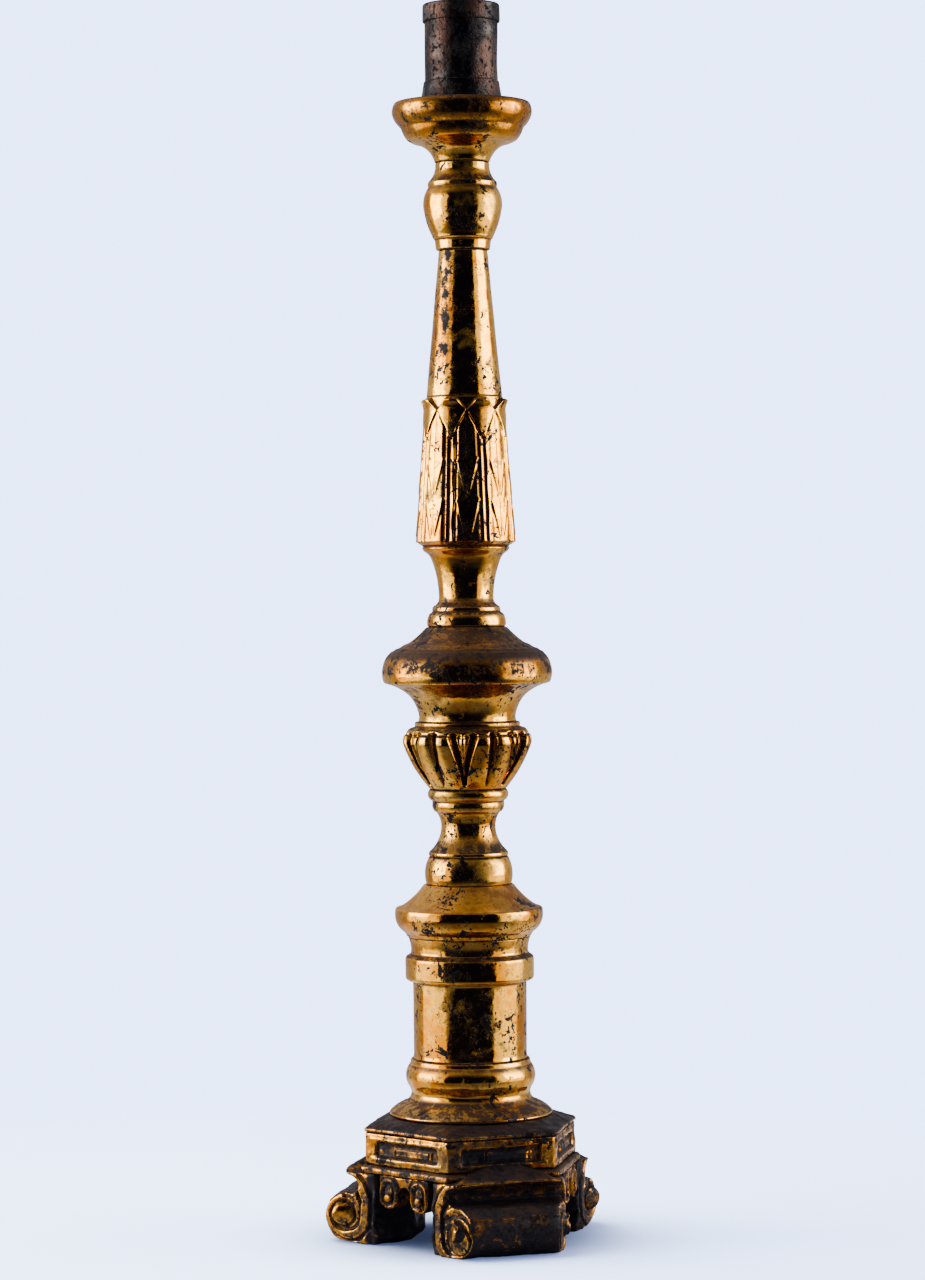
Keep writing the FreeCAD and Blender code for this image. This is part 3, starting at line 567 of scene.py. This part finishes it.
def carve_foot(across, outward, height, facing, eye=SIDE_EYE):
    """The scroll band, eye and fan on the flanks, and the fillet in the hollow under the lip."""
    eye_out, eye_height, eye_radius = eye
    flank = step_up(np.abs(facing[:, 0]), 0.45, 0.8)
    front = step_up(facing[:, 1], 0.2, 0.7) * (1 - flank)
    band = near_path(outward, height, scroll_path(eye))
    from_eye = np.hypot(outward - eye_out, height - eye_height)
    half = 1.3 + 1.2 * step_up(eye_out - outward, -6, 5)
    push = flank * 1.1 * (1 - step_up(band, half - 0.4, half + 0.9))
    push -= flank * 1.0 * groove(band - half - 1.6, 1.5)
    push -= flank * 1.0 * groove(from_eye - eye_radius - 0.9, 1.4)
    push += flank * 1.0 * np.clip(1 - (from_eye / eye_radius) ** 2, 0, 1)
    fan_turn = np.arctan2(height - 20, outward - 58)
    fan = np.hypot(height - 20, outward - 58)
    leafy = step_up(fan, 5, 9) * step_up(fan, 25, 19) * step_up(band, 3, 4.5) * step_up(from_eye, 12, 14)
    push += flank * leafy * 0.9 * np.cos(fan_turn * 9)
    push += front * 1.1 * groove(height - 31 - 0.6 * np.sin(across / 7), 1.8)
    push -= front * 0.8 * groove(height - 34.2, 1.8)
    push += front * 0.7 * groove(height - 25.5 - 0.5 * np.sin(across / 9), 1.6)
    push -= front * 0.5 * groove(height - 41.5 - 0.7 * np.sin(across / 5), 1.3)
    return push


def carve_front_foot(across, outward, height, facing):
    return carve_foot(across, outward, height, facing, FRONT_EYE)


def bare_foot(across, outward, height, facing):
    """Handling has rubbed the rolls and hollows of the feet; the flanks keep their leaf. Behind the scroll
    bands, under the plinth, they are dark with grime and painted shade.
    """
    flank = step_up(np.abs(facing[:, 0]), 0.35, 0.75)
    lip = groove(height - LIP_HEIGHT, 3.5) * (outward > LIP_OUT - 2)
    low = step_up(height, 23, 15) * (1 - flank)
    # Behind the scroll bands, under the plinth, the leaf is taken off: grime, and painted shade under the
    # plinth.
    heel_grime_and_shade = step_up(outward, 61, 55)
    return np.clip(0.68 - 0.44 * flank - 0.4 * lip + 0.22 * low + 0.9 * heel_grime_and_shade, 0, 1)


def bare_right_foot(across, outward, height, facing):
    return np.clip(bare_foot(across, outward, height, facing) + 0.28, 0, 1)


def carve_apron(across, outward, height, facing):
    """Two hanging scrolls, each a band that arches over and curls in to its eye."""
    front = step_up(facing[:, 1], 0.3, 0.8)
    lobe, eye_height, reach, arch = 12.8, 31.0, 6.2, 36.0
    points = [(lobe + reach, eye_height - 4.5), (lobe + reach, arch)]
    turns = [math.radians(15 * k) for k in range(1, 13)]
    points += [(lobe + reach * math.cos(turn), arch + reach * math.sin(turn)) for turn in turns]
    points += [(lobe - reach, eye_height), (lobe - 4.4, eye_height - 4.4), (lobe, eye_height - 5.6)]
    band = near_path(np.abs(across), height, points)
    from_eye = np.hypot(np.abs(across) - lobe, height - eye_height)
    push = front * (0.9 * groove(band, 1.9) - 0.9 * groove(band - 2.6, 1.2))
    push += front * 0.8 * np.clip(1 - (from_eye / 3.4) ** 2, 0, 1)
    return push


def on_side(across, outward):
    """Places round a hexagonal plan: distance along the nearest side, and which side."""
    turn = np.degrees(np.arctan2(across, outward))
    side = np.round(turn / 60)
    rest = np.radians(turn - side * 60)
    return np.hypot(across, outward) * np.sin(rest), side.astype(int) % 6


def carve_block(across, outward, height, facing):
    """A thin frame inside each sunk panel, and a tool line along the rails."""
    low, high = (corner.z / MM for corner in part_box("plinth_block"))
    middle = (low + high) / 2
    along, side = on_side(across, outward)
    upright = (np.abs(facing[:, 2]) < 0.5) * (np.hypot(across, outward) > 40)
    inner_half = np.where(along > 0, 20.0, 12.0)
    inset = (np.abs(along) < inner_half) * (height < middle + 1.4) * (height > middle - 3.2)
    push = upright * 1.3 * inset
    push -= upright * 0.8 * groove(np.abs(along) - inner_half + 1.8, 1.0) * inset
    push += upright * 0.5 * groove(np.abs(height - middle) - 6.0, 2.0) * (np.abs(along) < 30)
    return push


BARE_SIDES = (0.56, 0.36, 0.45, 0.35, 0.45, 0.2)


def bare_block(across, outward, height, facing):
    """The front of the block is rubbed bare but for its right end; the side beside it is well kept."""
    along, side = on_side(across, outward)
    bare = np.array(BARE_SIDES)[side]
    low, high = (corner.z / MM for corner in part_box("plinth_block"))
    # The sunk panels are darkened further: painted shade in the recesses.
    sunk = (np.abs(along) < 25.5) * (np.abs(height - (low + high) / 2) < 4.6)
    bare = bare + 0.3 * sunk
    return np.where((side == 0) & (along > 16), 0.15, bare)


def bare_apron(across, outward, height, facing):
    return np.full(len(across), 0.52)


def bare_cap(across, outward, height, facing):
    # Leaf is lost all over the cap, and its upward faces are darker still: painted shade.
    return 0.42 + 0.35 * step_up(facing[:, 2], 0.3, 0.7)


def bare_base(across, outward, height, facing):
    return np.full(len(across), 0.5)


base_parts = (
    ("plinth_base", 0, None, bare_base, dict(voxel=0.75, rounds=5, wobble=0.4, seed=31)),
    ("plinth_block", 0, carve_block, bare_block, dict(voxel=0.7, rounds=11, wobble=0.62, seed=32)),
    ("plinth_cap", 0, None, bare_cap, dict(voxel=0.75, rounds=14, wobble=0.55, seed=33)),
    ("foot_front", 0, carve_front_foot, bare_foot, dict(rounds=44, wobble=0.55, seed=34)),
    ("foot_left", -120, carve_foot, bare_foot, dict(rounds=44, wobble=0.55, seed=35)),
    ("foot_right", 120, carve_foot, bare_right_foot, dict(rounds=44, wobble=0.55, seed=36)),
    ("apron_left", -60, carve_apron, bare_apron, dict(voxel=0.55, rounds=5, wobble=0.35, seed=37)),
    ("apron_right", 60, carve_apron, bare_apron, dict(voxel=0.55, rounds=5, wobble=0.35, seed=38)),
    ("apron_rear", 180, carve_apron, bare_apron, dict(voxel=0.55, rounds=5, wobble=0.35, seed=39)),
)


# --- materials ----------------------------------------------------------------------------


class Nodes:
    """A short way to wire a material: each method adds a node and returns its output."""

    def __init__(self, name):
        self.material = bpy.data.materials.new(name)
        self.material.use_nodes = True
        self.tree = self.material.node_tree
        self.tree.nodes.clear()
        self.place = self.add("ShaderNodeTexCoord").outputs["Object"]

    def add(self, kind, **settings):
        node = self.tree.nodes.new(kind)
        for key, value in settings.items():
            setattr(node, key, value)
        return node

    def put(self, value, socket):
        if isinstance(value, bpy.types.NodeSocket):
            self.tree.links.new(value, socket)
        else:
            socket.default_value = value

    def math(self, operation, first, second):
        node = self.add("ShaderNodeMath", operation=operation)
        for value, socket in zip((first, second), node.inputs):
            self.put(value, socket)
        return node.outputs[0]

    def plus(self, first, second):
        return self.math("ADD", first, second)

    def minus(self, first, second):
        return self.math("SUBTRACT", first, second)

    def times(self, first, second):
        return self.math("MULTIPLY", first, second)

    def most(self, first, second):
        return self.math("MAXIMUM", first, second)

    def ramp(self, value, low, high, from_value=0.0, to_value=1.0):
        node = self.add("ShaderNodeMapRange", interpolation_type="SMOOTHSTEP")
        for key, number in zip((0, 1, 2, 3, 4), (value, low, high, from_value, to_value)):
            self.put(number, node.inputs[key])
        return node.outputs[0]

    def noise(self, size, detail=3.0, stretch=(1, 1, 1), shift=0.0, roughness=0.55, distortion=0.0):
        """Noise about 0.5 with features of this size in mm, longer along an axis by stretch."""
        mapping = self.add("ShaderNodeMapping")
        self.put(self.place, mapping.inputs["Vector"])
        mapping.inputs["Scale"].default_value = [1 / part for part in stretch]
        mapping.inputs["Location"].default_value = (shift, shift * 0.7, shift * 1.3)
        node = self.add("ShaderNodeTexNoise")
        self.put(mapping.outputs[0], node.inputs["Vector"])
        node.inputs["Scale"].default_value = 1 / (size * MM)
        node.inputs["Detail"].default_value = detail
        node.inputs["Roughness"].default_value = roughness
        node.inputs["Distortion"].default_value = distortion
        return node.outputs["Fac"]

    def colour(self, amount, first, second):
        node = self.add("ShaderNodeMix", data_type="RGBA")
        self.put(amount, node.inputs["Factor"])
        for value, socket in ((first, node.inputs[6]), (second, node.inputs[7])):
            self.put(value if isinstance(value, bpy.types.NodeSocket) else (*value, 1), socket)
        return node.outputs[2]

    def mix(self, amount, first, second):
        node = self.add("ShaderNodeMix", data_type="FLOAT")
        for value, socket in ((amount, node.inputs[0]), (first, node.inputs[2]), (second, node.inputs[3])):
            self.put(value, socket)
        return node.outputs[0]

    def attribute(self, name):
        return self.add("ShaderNodeAttribute", attribute_name=name).outputs["Fac"]

    def upward(self):
        split = self.add("ShaderNodeSeparateXYZ")
        self.put(self.add("ShaderNodeNewGeometry").outputs["Normal"], split.inputs[0])
        return split.outputs[2]

    def bump(self, height, distance, base=None):
        node = self.add("ShaderNodeBump")
        self.put(height, node.inputs["Height"])
        node.inputs["Distance"].default_value = distance * MM
        if base is not None:
            self.put(base, node.inputs["Normal"])
        return node.outputs[0]

    def surface(self, colour, roughness, metallic, normal, specular=0.5):
        shader = self.add("ShaderNodeBsdfPrincipled")
        for value, name in (
            (colour, "Base Color"), (roughness, "Roughness"), (metallic, "Metallic"), (normal, "Normal"),
        ):
            self.put(value, shader.inputs[name])
        shader.inputs["Specular IOR Level"].default_value = specular
        out = self.add("ShaderNodeOutputMaterial")
        self.tree.links.new(shader.outputs[0], out.inputs["Surface"])
        return self.material


BRIGHT_GOLD = (0.96, 0.55, 0.13)
DEEP_GOLD = (0.77, 0.31, 0.045)
RED_BOLE = (0.12, 0.028, 0.011)
BARE_DARK = (0.013, 0.009, 0.009)
GRIME = (0.013, 0.009, 0.009)
DUST = (0.038, 0.023, 0.015)
OLD_GROUND = (0.036, 0.022, 0.017)
TARNISH = (0.27, 0.115, 0.025)
HOLLOW_SHADE_GOLD = (0.42, 0.12, 0.018)
WOOD_DARK, WOOD_LIGHT, WOOD_STAIN = (0.030, 0.017, 0.010), (0.115, 0.066, 0.036), (0.045, 0.027, 0.018)


def gilding(name, wear, grime, seed, edge_gold=0.32):
    """Burnished leaf over red bole: chips and rubbed edges, grime and painted shade in the hollows, where the
    gold is also painted darker as shade, and dust with painted shade on upward slopes.
    """
    n = Nodes(name)
    relief, broad, upward = n.attribute("relief"), n.attribute("broad"), n.upward()
    fine, middle = n.noise(1.6, 4, shift=seed), n.noise(7, 4, shift=seed + 1)
    wide = n.noise(38, 3, shift=seed + 2)
    tone = n.plus(n.times(middle, 0.5), n.times(wide, 0.5))
    gold = n.colour(n.ramp(tone, 0.40, 0.58), DEEP_GOLD, BRIGHT_GOLD)
    # Darker, redder gold in the hollows: painted shade.
    hollow = n.ramp(relief, -0.05, -0.5)
    gold = n.colour(n.times(hollow, 0.8), gold, HOLLOW_SHADE_GOLD)

    edge = n.ramp(n.plus(relief, n.times(n.minus(middle, 0.5), 1.6)), 0.48, 0.85)
    rubbed = n.times(edge, n.ramp(fine, 0.42, 0.6, 0.25, 1.0))
    thin = n.ramp(n.plus(n.noise(11, 5, shift=seed + 3), n.times(fine, 0.25)), 0.755, 0.83)
    bole = n.most(n.times(rubbed, 0.6), n.times(thin, 0.5))

    cluster = n.ramp(n.noise(24, 3, shift=seed + 4), 0.42, 0.64)
    speck = n.noise(2.6, 3, shift=seed + 5, roughness=0.62, distortion=0.6)
    flake = n.noise(7.5, 3, stretch=(1, 1, 1.3), shift=seed + 6, roughness=0.6, distortion=0.9)
    small = n.ramp(n.plus(speck, n.times(cluster, 0.12 + 0.05 * wear)), 0.70, 0.72)
    large = n.ramp(n.plus(flake, n.times(cluster, 0.12 + 0.05 * wear)), 0.725, 0.74)
    on_edge = n.ramp(n.plus(n.times(relief, 0.35), speck), 0.78, 0.82)
    chip = n.most(n.most(small, large), on_edge)

    # Dust on upward slopes, with painted shade: upward faces are darkened, less where a piece is marked clear
    # of it.
    slope = n.ramp(upward, 0.22, 0.60)
    clear_of_dust_and_shade = n.minus(1.0, n.attribute("clear_of_dust_and_shade"))
    uneven = n.plus(n.times(middle, 0.7), n.times(fine, 0.5))
    settled_dust_and_shade = n.times(n.times(slope, clear_of_dust_and_shade), n.ramp(uneven, 0.56, 0.80, 1.0, 0.3))
    # Grime in the hollows, together with painted shade there: darker wherever the surface is hollow.
    pooled_grime_and_shade = n.ramp(n.plus(relief, n.times(broad, 0.5)), -0.12, -0.55)
    pooled_grime_and_shade = n.times(pooled_grime_and_shade, n.ramp(fine, 0.35, 0.62, 1.0, 0.6))
    smoke = n.ramp(n.plus(wide, n.times(middle, 0.35)), 0.80 - 0.25 * grime, 0.95 - 0.22 * grime)
    smoke = n.times(smoke, n.ramp(relief, 0.0, 0.5, 0.3 + 0.5 * grime, 0.05))
    # Smoke, joint grime and grime in the hollows, together with the painted shade of the hollows and upward
    # slopes.
    dirt_and_shade = n.most(n.most(n.times(settled_dust_and_shade, 0.97), pooled_grime_and_shade), smoke)
    dirt_and_shade = n.most(dirt_and_shade, n.times(n.attribute("seam"), 0.95))

    # The bare attribute also carries painted shade: under the plinth, in the block's sunk panels and on the
    # plinth cap's upward faces.
    lost = n.plus(n.attribute("bare"), n.times(n.minus(middle, 0.5), 1.9))
    lost = n.plus(lost, n.times(n.minus(fine, 0.5), 0.9))
    lost = n.minus(lost, n.times(relief, edge_gold))
    tarnished, lost = n.ramp(lost, 0.0, 0.45), n.ramp(lost, 0.44, 0.66)

    gold = n.colour(n.times(tarnished, 0.8), gold, TARNISH)
    colour = n.colour(bole, gold, RED_BOLE)
    colour = n.colour(dirt_and_shade, colour, n.colour(slope, GRIME, DUST))
    colour = n.colour(lost, colour, n.colour(n.ramp(fine, 0.38, 0.62), GRIME, OLD_GROUND))
    colour = n.colour(chip, colour, BARE_DARK)
    gone = n.most(chip, lost)
    leaf_tone = n.plus(n.times(fine, 0.4), n.times(middle, 0.6))
    roughness = n.mix(bole, n.mix(tarnished, n.ramp(leaf_tone, 0.35, 0.66, 0.07, 0.20), 0.27), 0.36)
    roughness = n.mix(dirt_and_shade, roughness, 0.50)
    roughness = n.mix(gone, roughness, n.ramp(middle, 0.35, 0.65, 0.36, 0.6))
    metallic = n.times(n.minus(1.0, n.times(dirt_and_shade, 0.92)), n.minus(1.0, gone))
    metallic = n.times(metallic, n.minus(1.0, n.times(bole, 0.8)))

    rings = n.noise(1.5, 2, stretch=(14, 14, 1), shift=seed + 7)
    uneven_ground = n.plus(n.times(n.noise(9, 3, shift=seed + 8), 0.75), n.times(rings, 0.12))
    normal = n.bump(uneven_ground, 0.14)
    normal = n.bump(n.noise(0.9, 3, shift=seed + 9), 0.010 + 0.03 * grime, normal)
    normal = n.bump(n.minus(1.0, n.most(gone, n.times(bole, 0.2))), 0.012, normal)
    return n.surface(colour, roughness, metallic, normal, specular=0.35)


def old_metal(name, dark, warm, cool, roughness, metallic):
    """Old sheet metal or iron: brown and blackened, with cool worn patches and dark pits."""
    n = Nodes(name)
    relief = n.attribute("relief")
    fine, middle = n.noise(1.4, 4, shift=3.1), n.noise(6, 4, shift=4.7)
    wide = n.noise(19, 3, stretch=(1, 1, 1.8), shift=5.3)
    colour = n.colour(n.ramp(wide, 0.40, 0.62), dark, warm)
    patch = n.ramp(n.plus(n.noise(12, 4, stretch=(1, 1, 1.6), shift=9.2), n.times(fine, 0.3)), 0.66, 0.76)
    edge = n.ramp(n.plus(relief, n.times(middle, 0.5)), 0.55, 0.9)
    bright = n.most(patch, edge)
    colour = n.colour(n.times(bright, 0.6), colour, cool)
    pit = n.ramp(n.plus(n.noise(2.6, 4, shift=12.1), n.times(middle, 0.3)), 0.72, 0.80)
    colour = n.colour(pit, colour, tuple(0.35 * part for part in dark))
    rough = n.mix(pit, n.ramp(middle, 0.3, 0.7, roughness - 0.1, roughness + 0.14), 0.8)
    normal = n.bump(middle, 0.5)
    normal = n.bump(n.minus(fine, n.times(pit, 0.8)), 0.22, normal)
    return n.surface(colour, rough, n.times(metallic, n.minus(1.0, pit)), normal)


def old_wood(name):
    """Bare dark softwood with its grain standing up."""
    n = Nodes(name)
    grain = n.noise(1.1, 4, stretch=(1, 1, 16), shift=2.2, distortion=0.4)
    wide = n.noise(9, 3, stretch=(1, 1, 5), shift=6.1)
    colour = n.colour(n.ramp(grain, 0.35, 0.65), WOOD_DARK, WOOD_LIGHT)
    colour = n.colour(n.ramp(wide, 0.42, 0.66, 0.0, 0.7), colour, WOOD_STAIN)
    normal = n.bump(grain, 0.4)
    return n.surface(colour, n.ramp(grain, 0.3, 0.7, 0.78, 0.6), 0.0, normal, specular=0.35)


PAPER_TONES = ((0.62, 0.735, 0.885), (0.64, 0.765, 0.915))
PAPER_SHADOW = (0.02, 0.018, 0.025)
SHADOW_NEAR, SHADOW_FAR, SHADOW_DEPTH = 0.045, 0.12, 0.7
PAPER_GLOW = (0.40, 0.50, 0.95)
GLOW_NEAR, GLOW_FAR, LEAST_GLOW = 0.03, 0.17, 0.1
# What mirrored rays see of the paper, darker in front of the object: a painted reflection.
MIRRORED_PAPER = (0.40, 0.41, 0.46)
MIRRORED_FRONT = (0.10, 0.11, 0.15)
FRONT_NEAR, FRONT_FAR = 0.02, 0.22


def out_from_axis(azimuth, distance, height):
    """A place this far from the axis, at a CAD azimuth in degrees."""
    turn = math.radians(azimuth)
    return Vector((distance * math.sin(turn), -distance * math.cos(turn), height))


def floor_finish(near, far):
    """Matt pale paper that gives way to the background between two distances, in metres.

    It is painted darker near the axis, a painted contact shadow under the object. The camera sees it glow a
    little away from the object, a painted light that fades near the object as painted shade, and mirrored
    rays see it greyer, darker in front, as a painted reflection.
    """
    n = Nodes("floor_paper")
    fibre = n.noise(3.0, 4)
    shade = n.colour(n.ramp(fibre, 0.3, 0.7), *PAPER_TONES)
    path = n.add("ShaderNodeLightPath")
    length = n.add("ShaderNodeVectorMath", operation="LENGTH")
    n.put(n.place, length.inputs[0])
    away = length.outputs["Value"]
    # Painted contact shadow: the paper is darker near the axis, under the object.
    shade = n.colour(n.ramp(away, SHADOW_NEAR, SHADOW_FAR, SHADOW_DEPTH, 0.0), shade, PAPER_SHADOW)
    forward = n.add("ShaderNodeVectorMath", operation="DOT_PRODUCT")
    n.put(n.place, forward.inputs[0])
    forward.inputs[1].default_value = out_from_axis(CAMERA_AZIMUTH, 1, 0)
    in_front = n.ramp(forward.outputs["Value"], FRONT_NEAR, FRONT_FAR)
    mirrored = n.colour(in_front, MIRRORED_PAPER, MIRRORED_FRONT)
    shade = n.colour(path.outputs["Is Glossy Ray"], shade, mirrored)
    # Painted light: the paper glows to the camera, and less near the object, which is painted shade.
    painted_glow = n.times(path.outputs["Is Camera Ray"], n.ramp(away, GLOW_NEAR, GLOW_FAR, LEAST_GLOW, 1.0))
    paper = n.add("ShaderNodeBsdfPrincipled")
    n.put(shade, paper.inputs["Base Color"])
    n.put(n.bump(fibre, 0.05), paper.inputs["Normal"])
    paper.inputs["Roughness"].default_value = 0.9
    paper.inputs["Specular IOR Level"].default_value = 0.1
    paper.inputs["Emission Color"].default_value = (*PAPER_GLOW, 1)
    n.put(painted_glow, paper.inputs["Emission Strength"])
    clear = n.add("ShaderNodeBsdfTransparent")
    blend = n.add("ShaderNodeMixShader")
    n.put(n.ramp(away, near, far), blend.inputs[0])
    n.tree.links.new(paper.outputs[0], blend.inputs[1])
    n.tree.links.new(clear.outputs[0], blend.inputs[2])
    out = n.add("ShaderNodeOutputMaterial")
    n.tree.links.new(blend.outputs[0], out.inputs["Surface"])
    return n.material


gilded = gilding("gilded_wood", wear=0.75, grime=0.25, seed=0.0)
dark_gilded = gilding("dark_gilding", wear=1.0, grime=0.9, seed=5.0, edge_gold=0.17)
bare = old_wood("bare_wood")
socket_skin = old_metal(
    "socket_metal", dark=(0.016, 0.010, 0.008), warm=(0.10, 0.048, 0.030), cool=(0.095, 0.088, 0.078),
    roughness=0.36, metallic=0.5,
)
iron_skin = old_metal(
    "iron", dark=(0.018, 0.014, 0.012), warm=(0.06, 0.032, 0.02), cool=(0.12, 0.115, 0.11),
    roughness=0.5, metallic=0.7,
)


# --- building the pieces ------------------------------------------------------------------

joint_heights = [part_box(node)[0].z / MM for node, _ in turned_parts[1:]]

for parts, slot, body, material in (
    (turned_parts, "gilded_wood", STAND, gilded),
    (socket_parts, "socket_metal", SOCKET, socket_skin),
    (iron_parts, "iron", STAND, iron_skin),
):
    for seed, (node, settings) in enumerate(parts):
        mesh = turned(node, seed=11 + 3 * seed, **settings)
        if node in worn_parts:
            store(mesh, "bare", worn_parts[node](coordinates(mesh) / MM))
        if node in clear_of_dust_and_shade_parts:
            store(mesh, "clear_of_dust_and_shade", np.full(len(mesh.vertices), clear_of_dust_and_shade_parts[node]))
        finish_piece(node + "_detail", mesh, node, body, material)

for node, azimuth, carve, bare_of, settings in base_parts:
    mesh = carved(node, azimuth, carve, bare_of, **settings)
    finish_piece(node + "_detail", mesh, node, STAND, dark_gilded)

for node, material in (
    ("foot_dowels", bare), ("socket_floor", socket_skin), ("socket_sleeve", socket_skin),
):
    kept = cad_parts[node]
    for material_slot in kept.material_slots:
        material_slot.material = material


# --- floor, light and camera --------------------------------------------------------------

FLOOR_RADIUS, FLOOR_SOLID, FLOOR_CORNERS = 0.78, 0.34, 96
work = bmesh.new()
bmesh.ops.create_circle(work, cap_ends=True, radius=FLOOR_RADIUS, segments=FLOOR_CORNERS)
floor_mesh = bpy.data.meshes.new("floor")
work.to_mesh(floor_mesh)
work.free()
floor = bpy.data.objects.new("floor", floor_mesh)
floor_mesh.materials.append(floor_finish(FLOOR_SOLID, FLOOR_RADIUS))
bpy.context.scene.collection.objects.link(floor)

BACKDROP = (1.35, 1.66, 2.53)
ROOM_BEHIND, ROOM_IN_FRONT, FRONT_FROM = (0.42, 0.43, 0.46, 1), (0.008, 0.009, 0.014, 1), 0.62
LIGHT_AIM = 0.36


def soft_box(name, azimuth, distance, height, width, tall, watts, mirrored=True):
    light = bpy.data.lights.new(name, "AREA")
    light.shape, light.size, light.size_y, light.energy = "RECTANGLE", width, tall, watts
    lamp = bpy.data.objects.new(name, light)
    lamp.location = out_from_axis(azimuth, distance, height)
    aim = Vector((0, 0, LIGHT_AIM)) - lamp.location
    lamp.rotation_euler = aim.to_track_quat("-Z", "Y").to_euler()
    lamp.visible_camera = False
    lamp.visible_glossy = mirrored
    bpy.context.scene.collection.objects.link(lamp)


for side, spread_turn, strength in (("left", -1, 1.0), ("right", 1, 0.92)):
    soft_box("box_" + side, CAMERA_AZIMUTH + spread_turn * 79, 1.6, 0.62, 2.0, 1.9, 13 * strength)
    soft_box("core_" + side, CAMERA_AZIMUTH + spread_turn * 86, 1.55, 0.74, 1.15, 1.25, 14 * strength)
soft_box("ceiling", CAMERA_AZIMUTH - 110, 0.9, 2.2, 1.5, 1.5, 62, mirrored=False)

world = bpy.data.worlds.new("studio")
bpy.context.scene.world = world
world.use_nodes = True
tree = world.node_tree
tree.nodes.clear()


def world_node(kind, **settings):
    node = tree.nodes.new(kind)
    for key, value in settings.items():
        setattr(node, key, value)
    return node


direction = world_node("ShaderNodeTexCoord").outputs["Generated"]
toward_camera = out_from_axis(CAMERA_AZIMUTH, 1, 0)
facing_room = world_node("ShaderNodeVectorMath", operation="DOT_PRODUCT")
tree.links.new(direction, facing_room.inputs[0])
facing_room.inputs[1].default_value = toward_camera
room = world_node("ShaderNodeValToRGB")
tree.links.new(facing_room.outputs["Value"], room.inputs[0])
room.color_ramp.interpolation = "EASE"
behind, in_front = room.color_ramp.elements
behind.position, behind.color = 0.0, ROOM_BEHIND
in_front.position, in_front.color = FRONT_FROM, ROOM_IN_FRONT
camera_ray = world_node("ShaderNodeLightPath").outputs["Is Camera Ray"]
sky = world_node("ShaderNodeMix", data_type="RGBA")
tree.links.new(camera_ray, sky.inputs["Factor"])
tree.links.new(room.outputs[0], sky.inputs[6])
sky.inputs[7].default_value = (*BACKDROP, 1)
background = world_node("ShaderNodeBackground")
tree.links.new(sky.outputs[2], background.inputs["Color"])
world_out = world_node("ShaderNodeOutputWorld")
tree.links.new(background.outputs[0], world_out.inputs["Surface"])

# a black level under zero lifts the darkest tones a little, and blue the most
BLACK_LEVEL = (-0.0025, -0.003, -0.006)
view = bpy.context.scene.view_settings
view.view_transform, view.look, view.use_curve_mapping = "AgX", "AgX - High Contrast", True
view.curve_mapping.black_level = BLACK_LEVEL
view.curve_mapping.update()

CAMERA_DISTANCE, CAMERA_HEIGHT, AIM_HEIGHT, AIM_SIDE = 2.342, 0.413, 0.3785, -0.0026
LENS, SENSOR_WIDTH, ROLL = 104.06, 36, 0.53
eye_turn = math.radians(CAMERA_AZIMUTH)
rightward = Vector((math.cos(eye_turn), math.sin(eye_turn), 0))
camera_data = bpy.data.cameras.new("camera")
camera_data.lens, camera_data.sensor_width = LENS, SENSOR_WIDTH
camera = bpy.data.objects.new("camera", camera_data)
camera.location = out_from_axis(CAMERA_AZIMUTH, CAMERA_DISTANCE, CAMERA_HEIGHT)
look = Vector((0, 0, AIM_HEIGHT)) + rightward * AIM_SIDE - camera.location
level = look.to_track_quat("-Z", "Y")
camera.rotation_euler = (level @ Quaternion((0, 0, 1), math.radians(-ROLL))).to_euler()
bpy.context.scene.collection.objects.link(camera)
bpy.context.scene.camera = camera
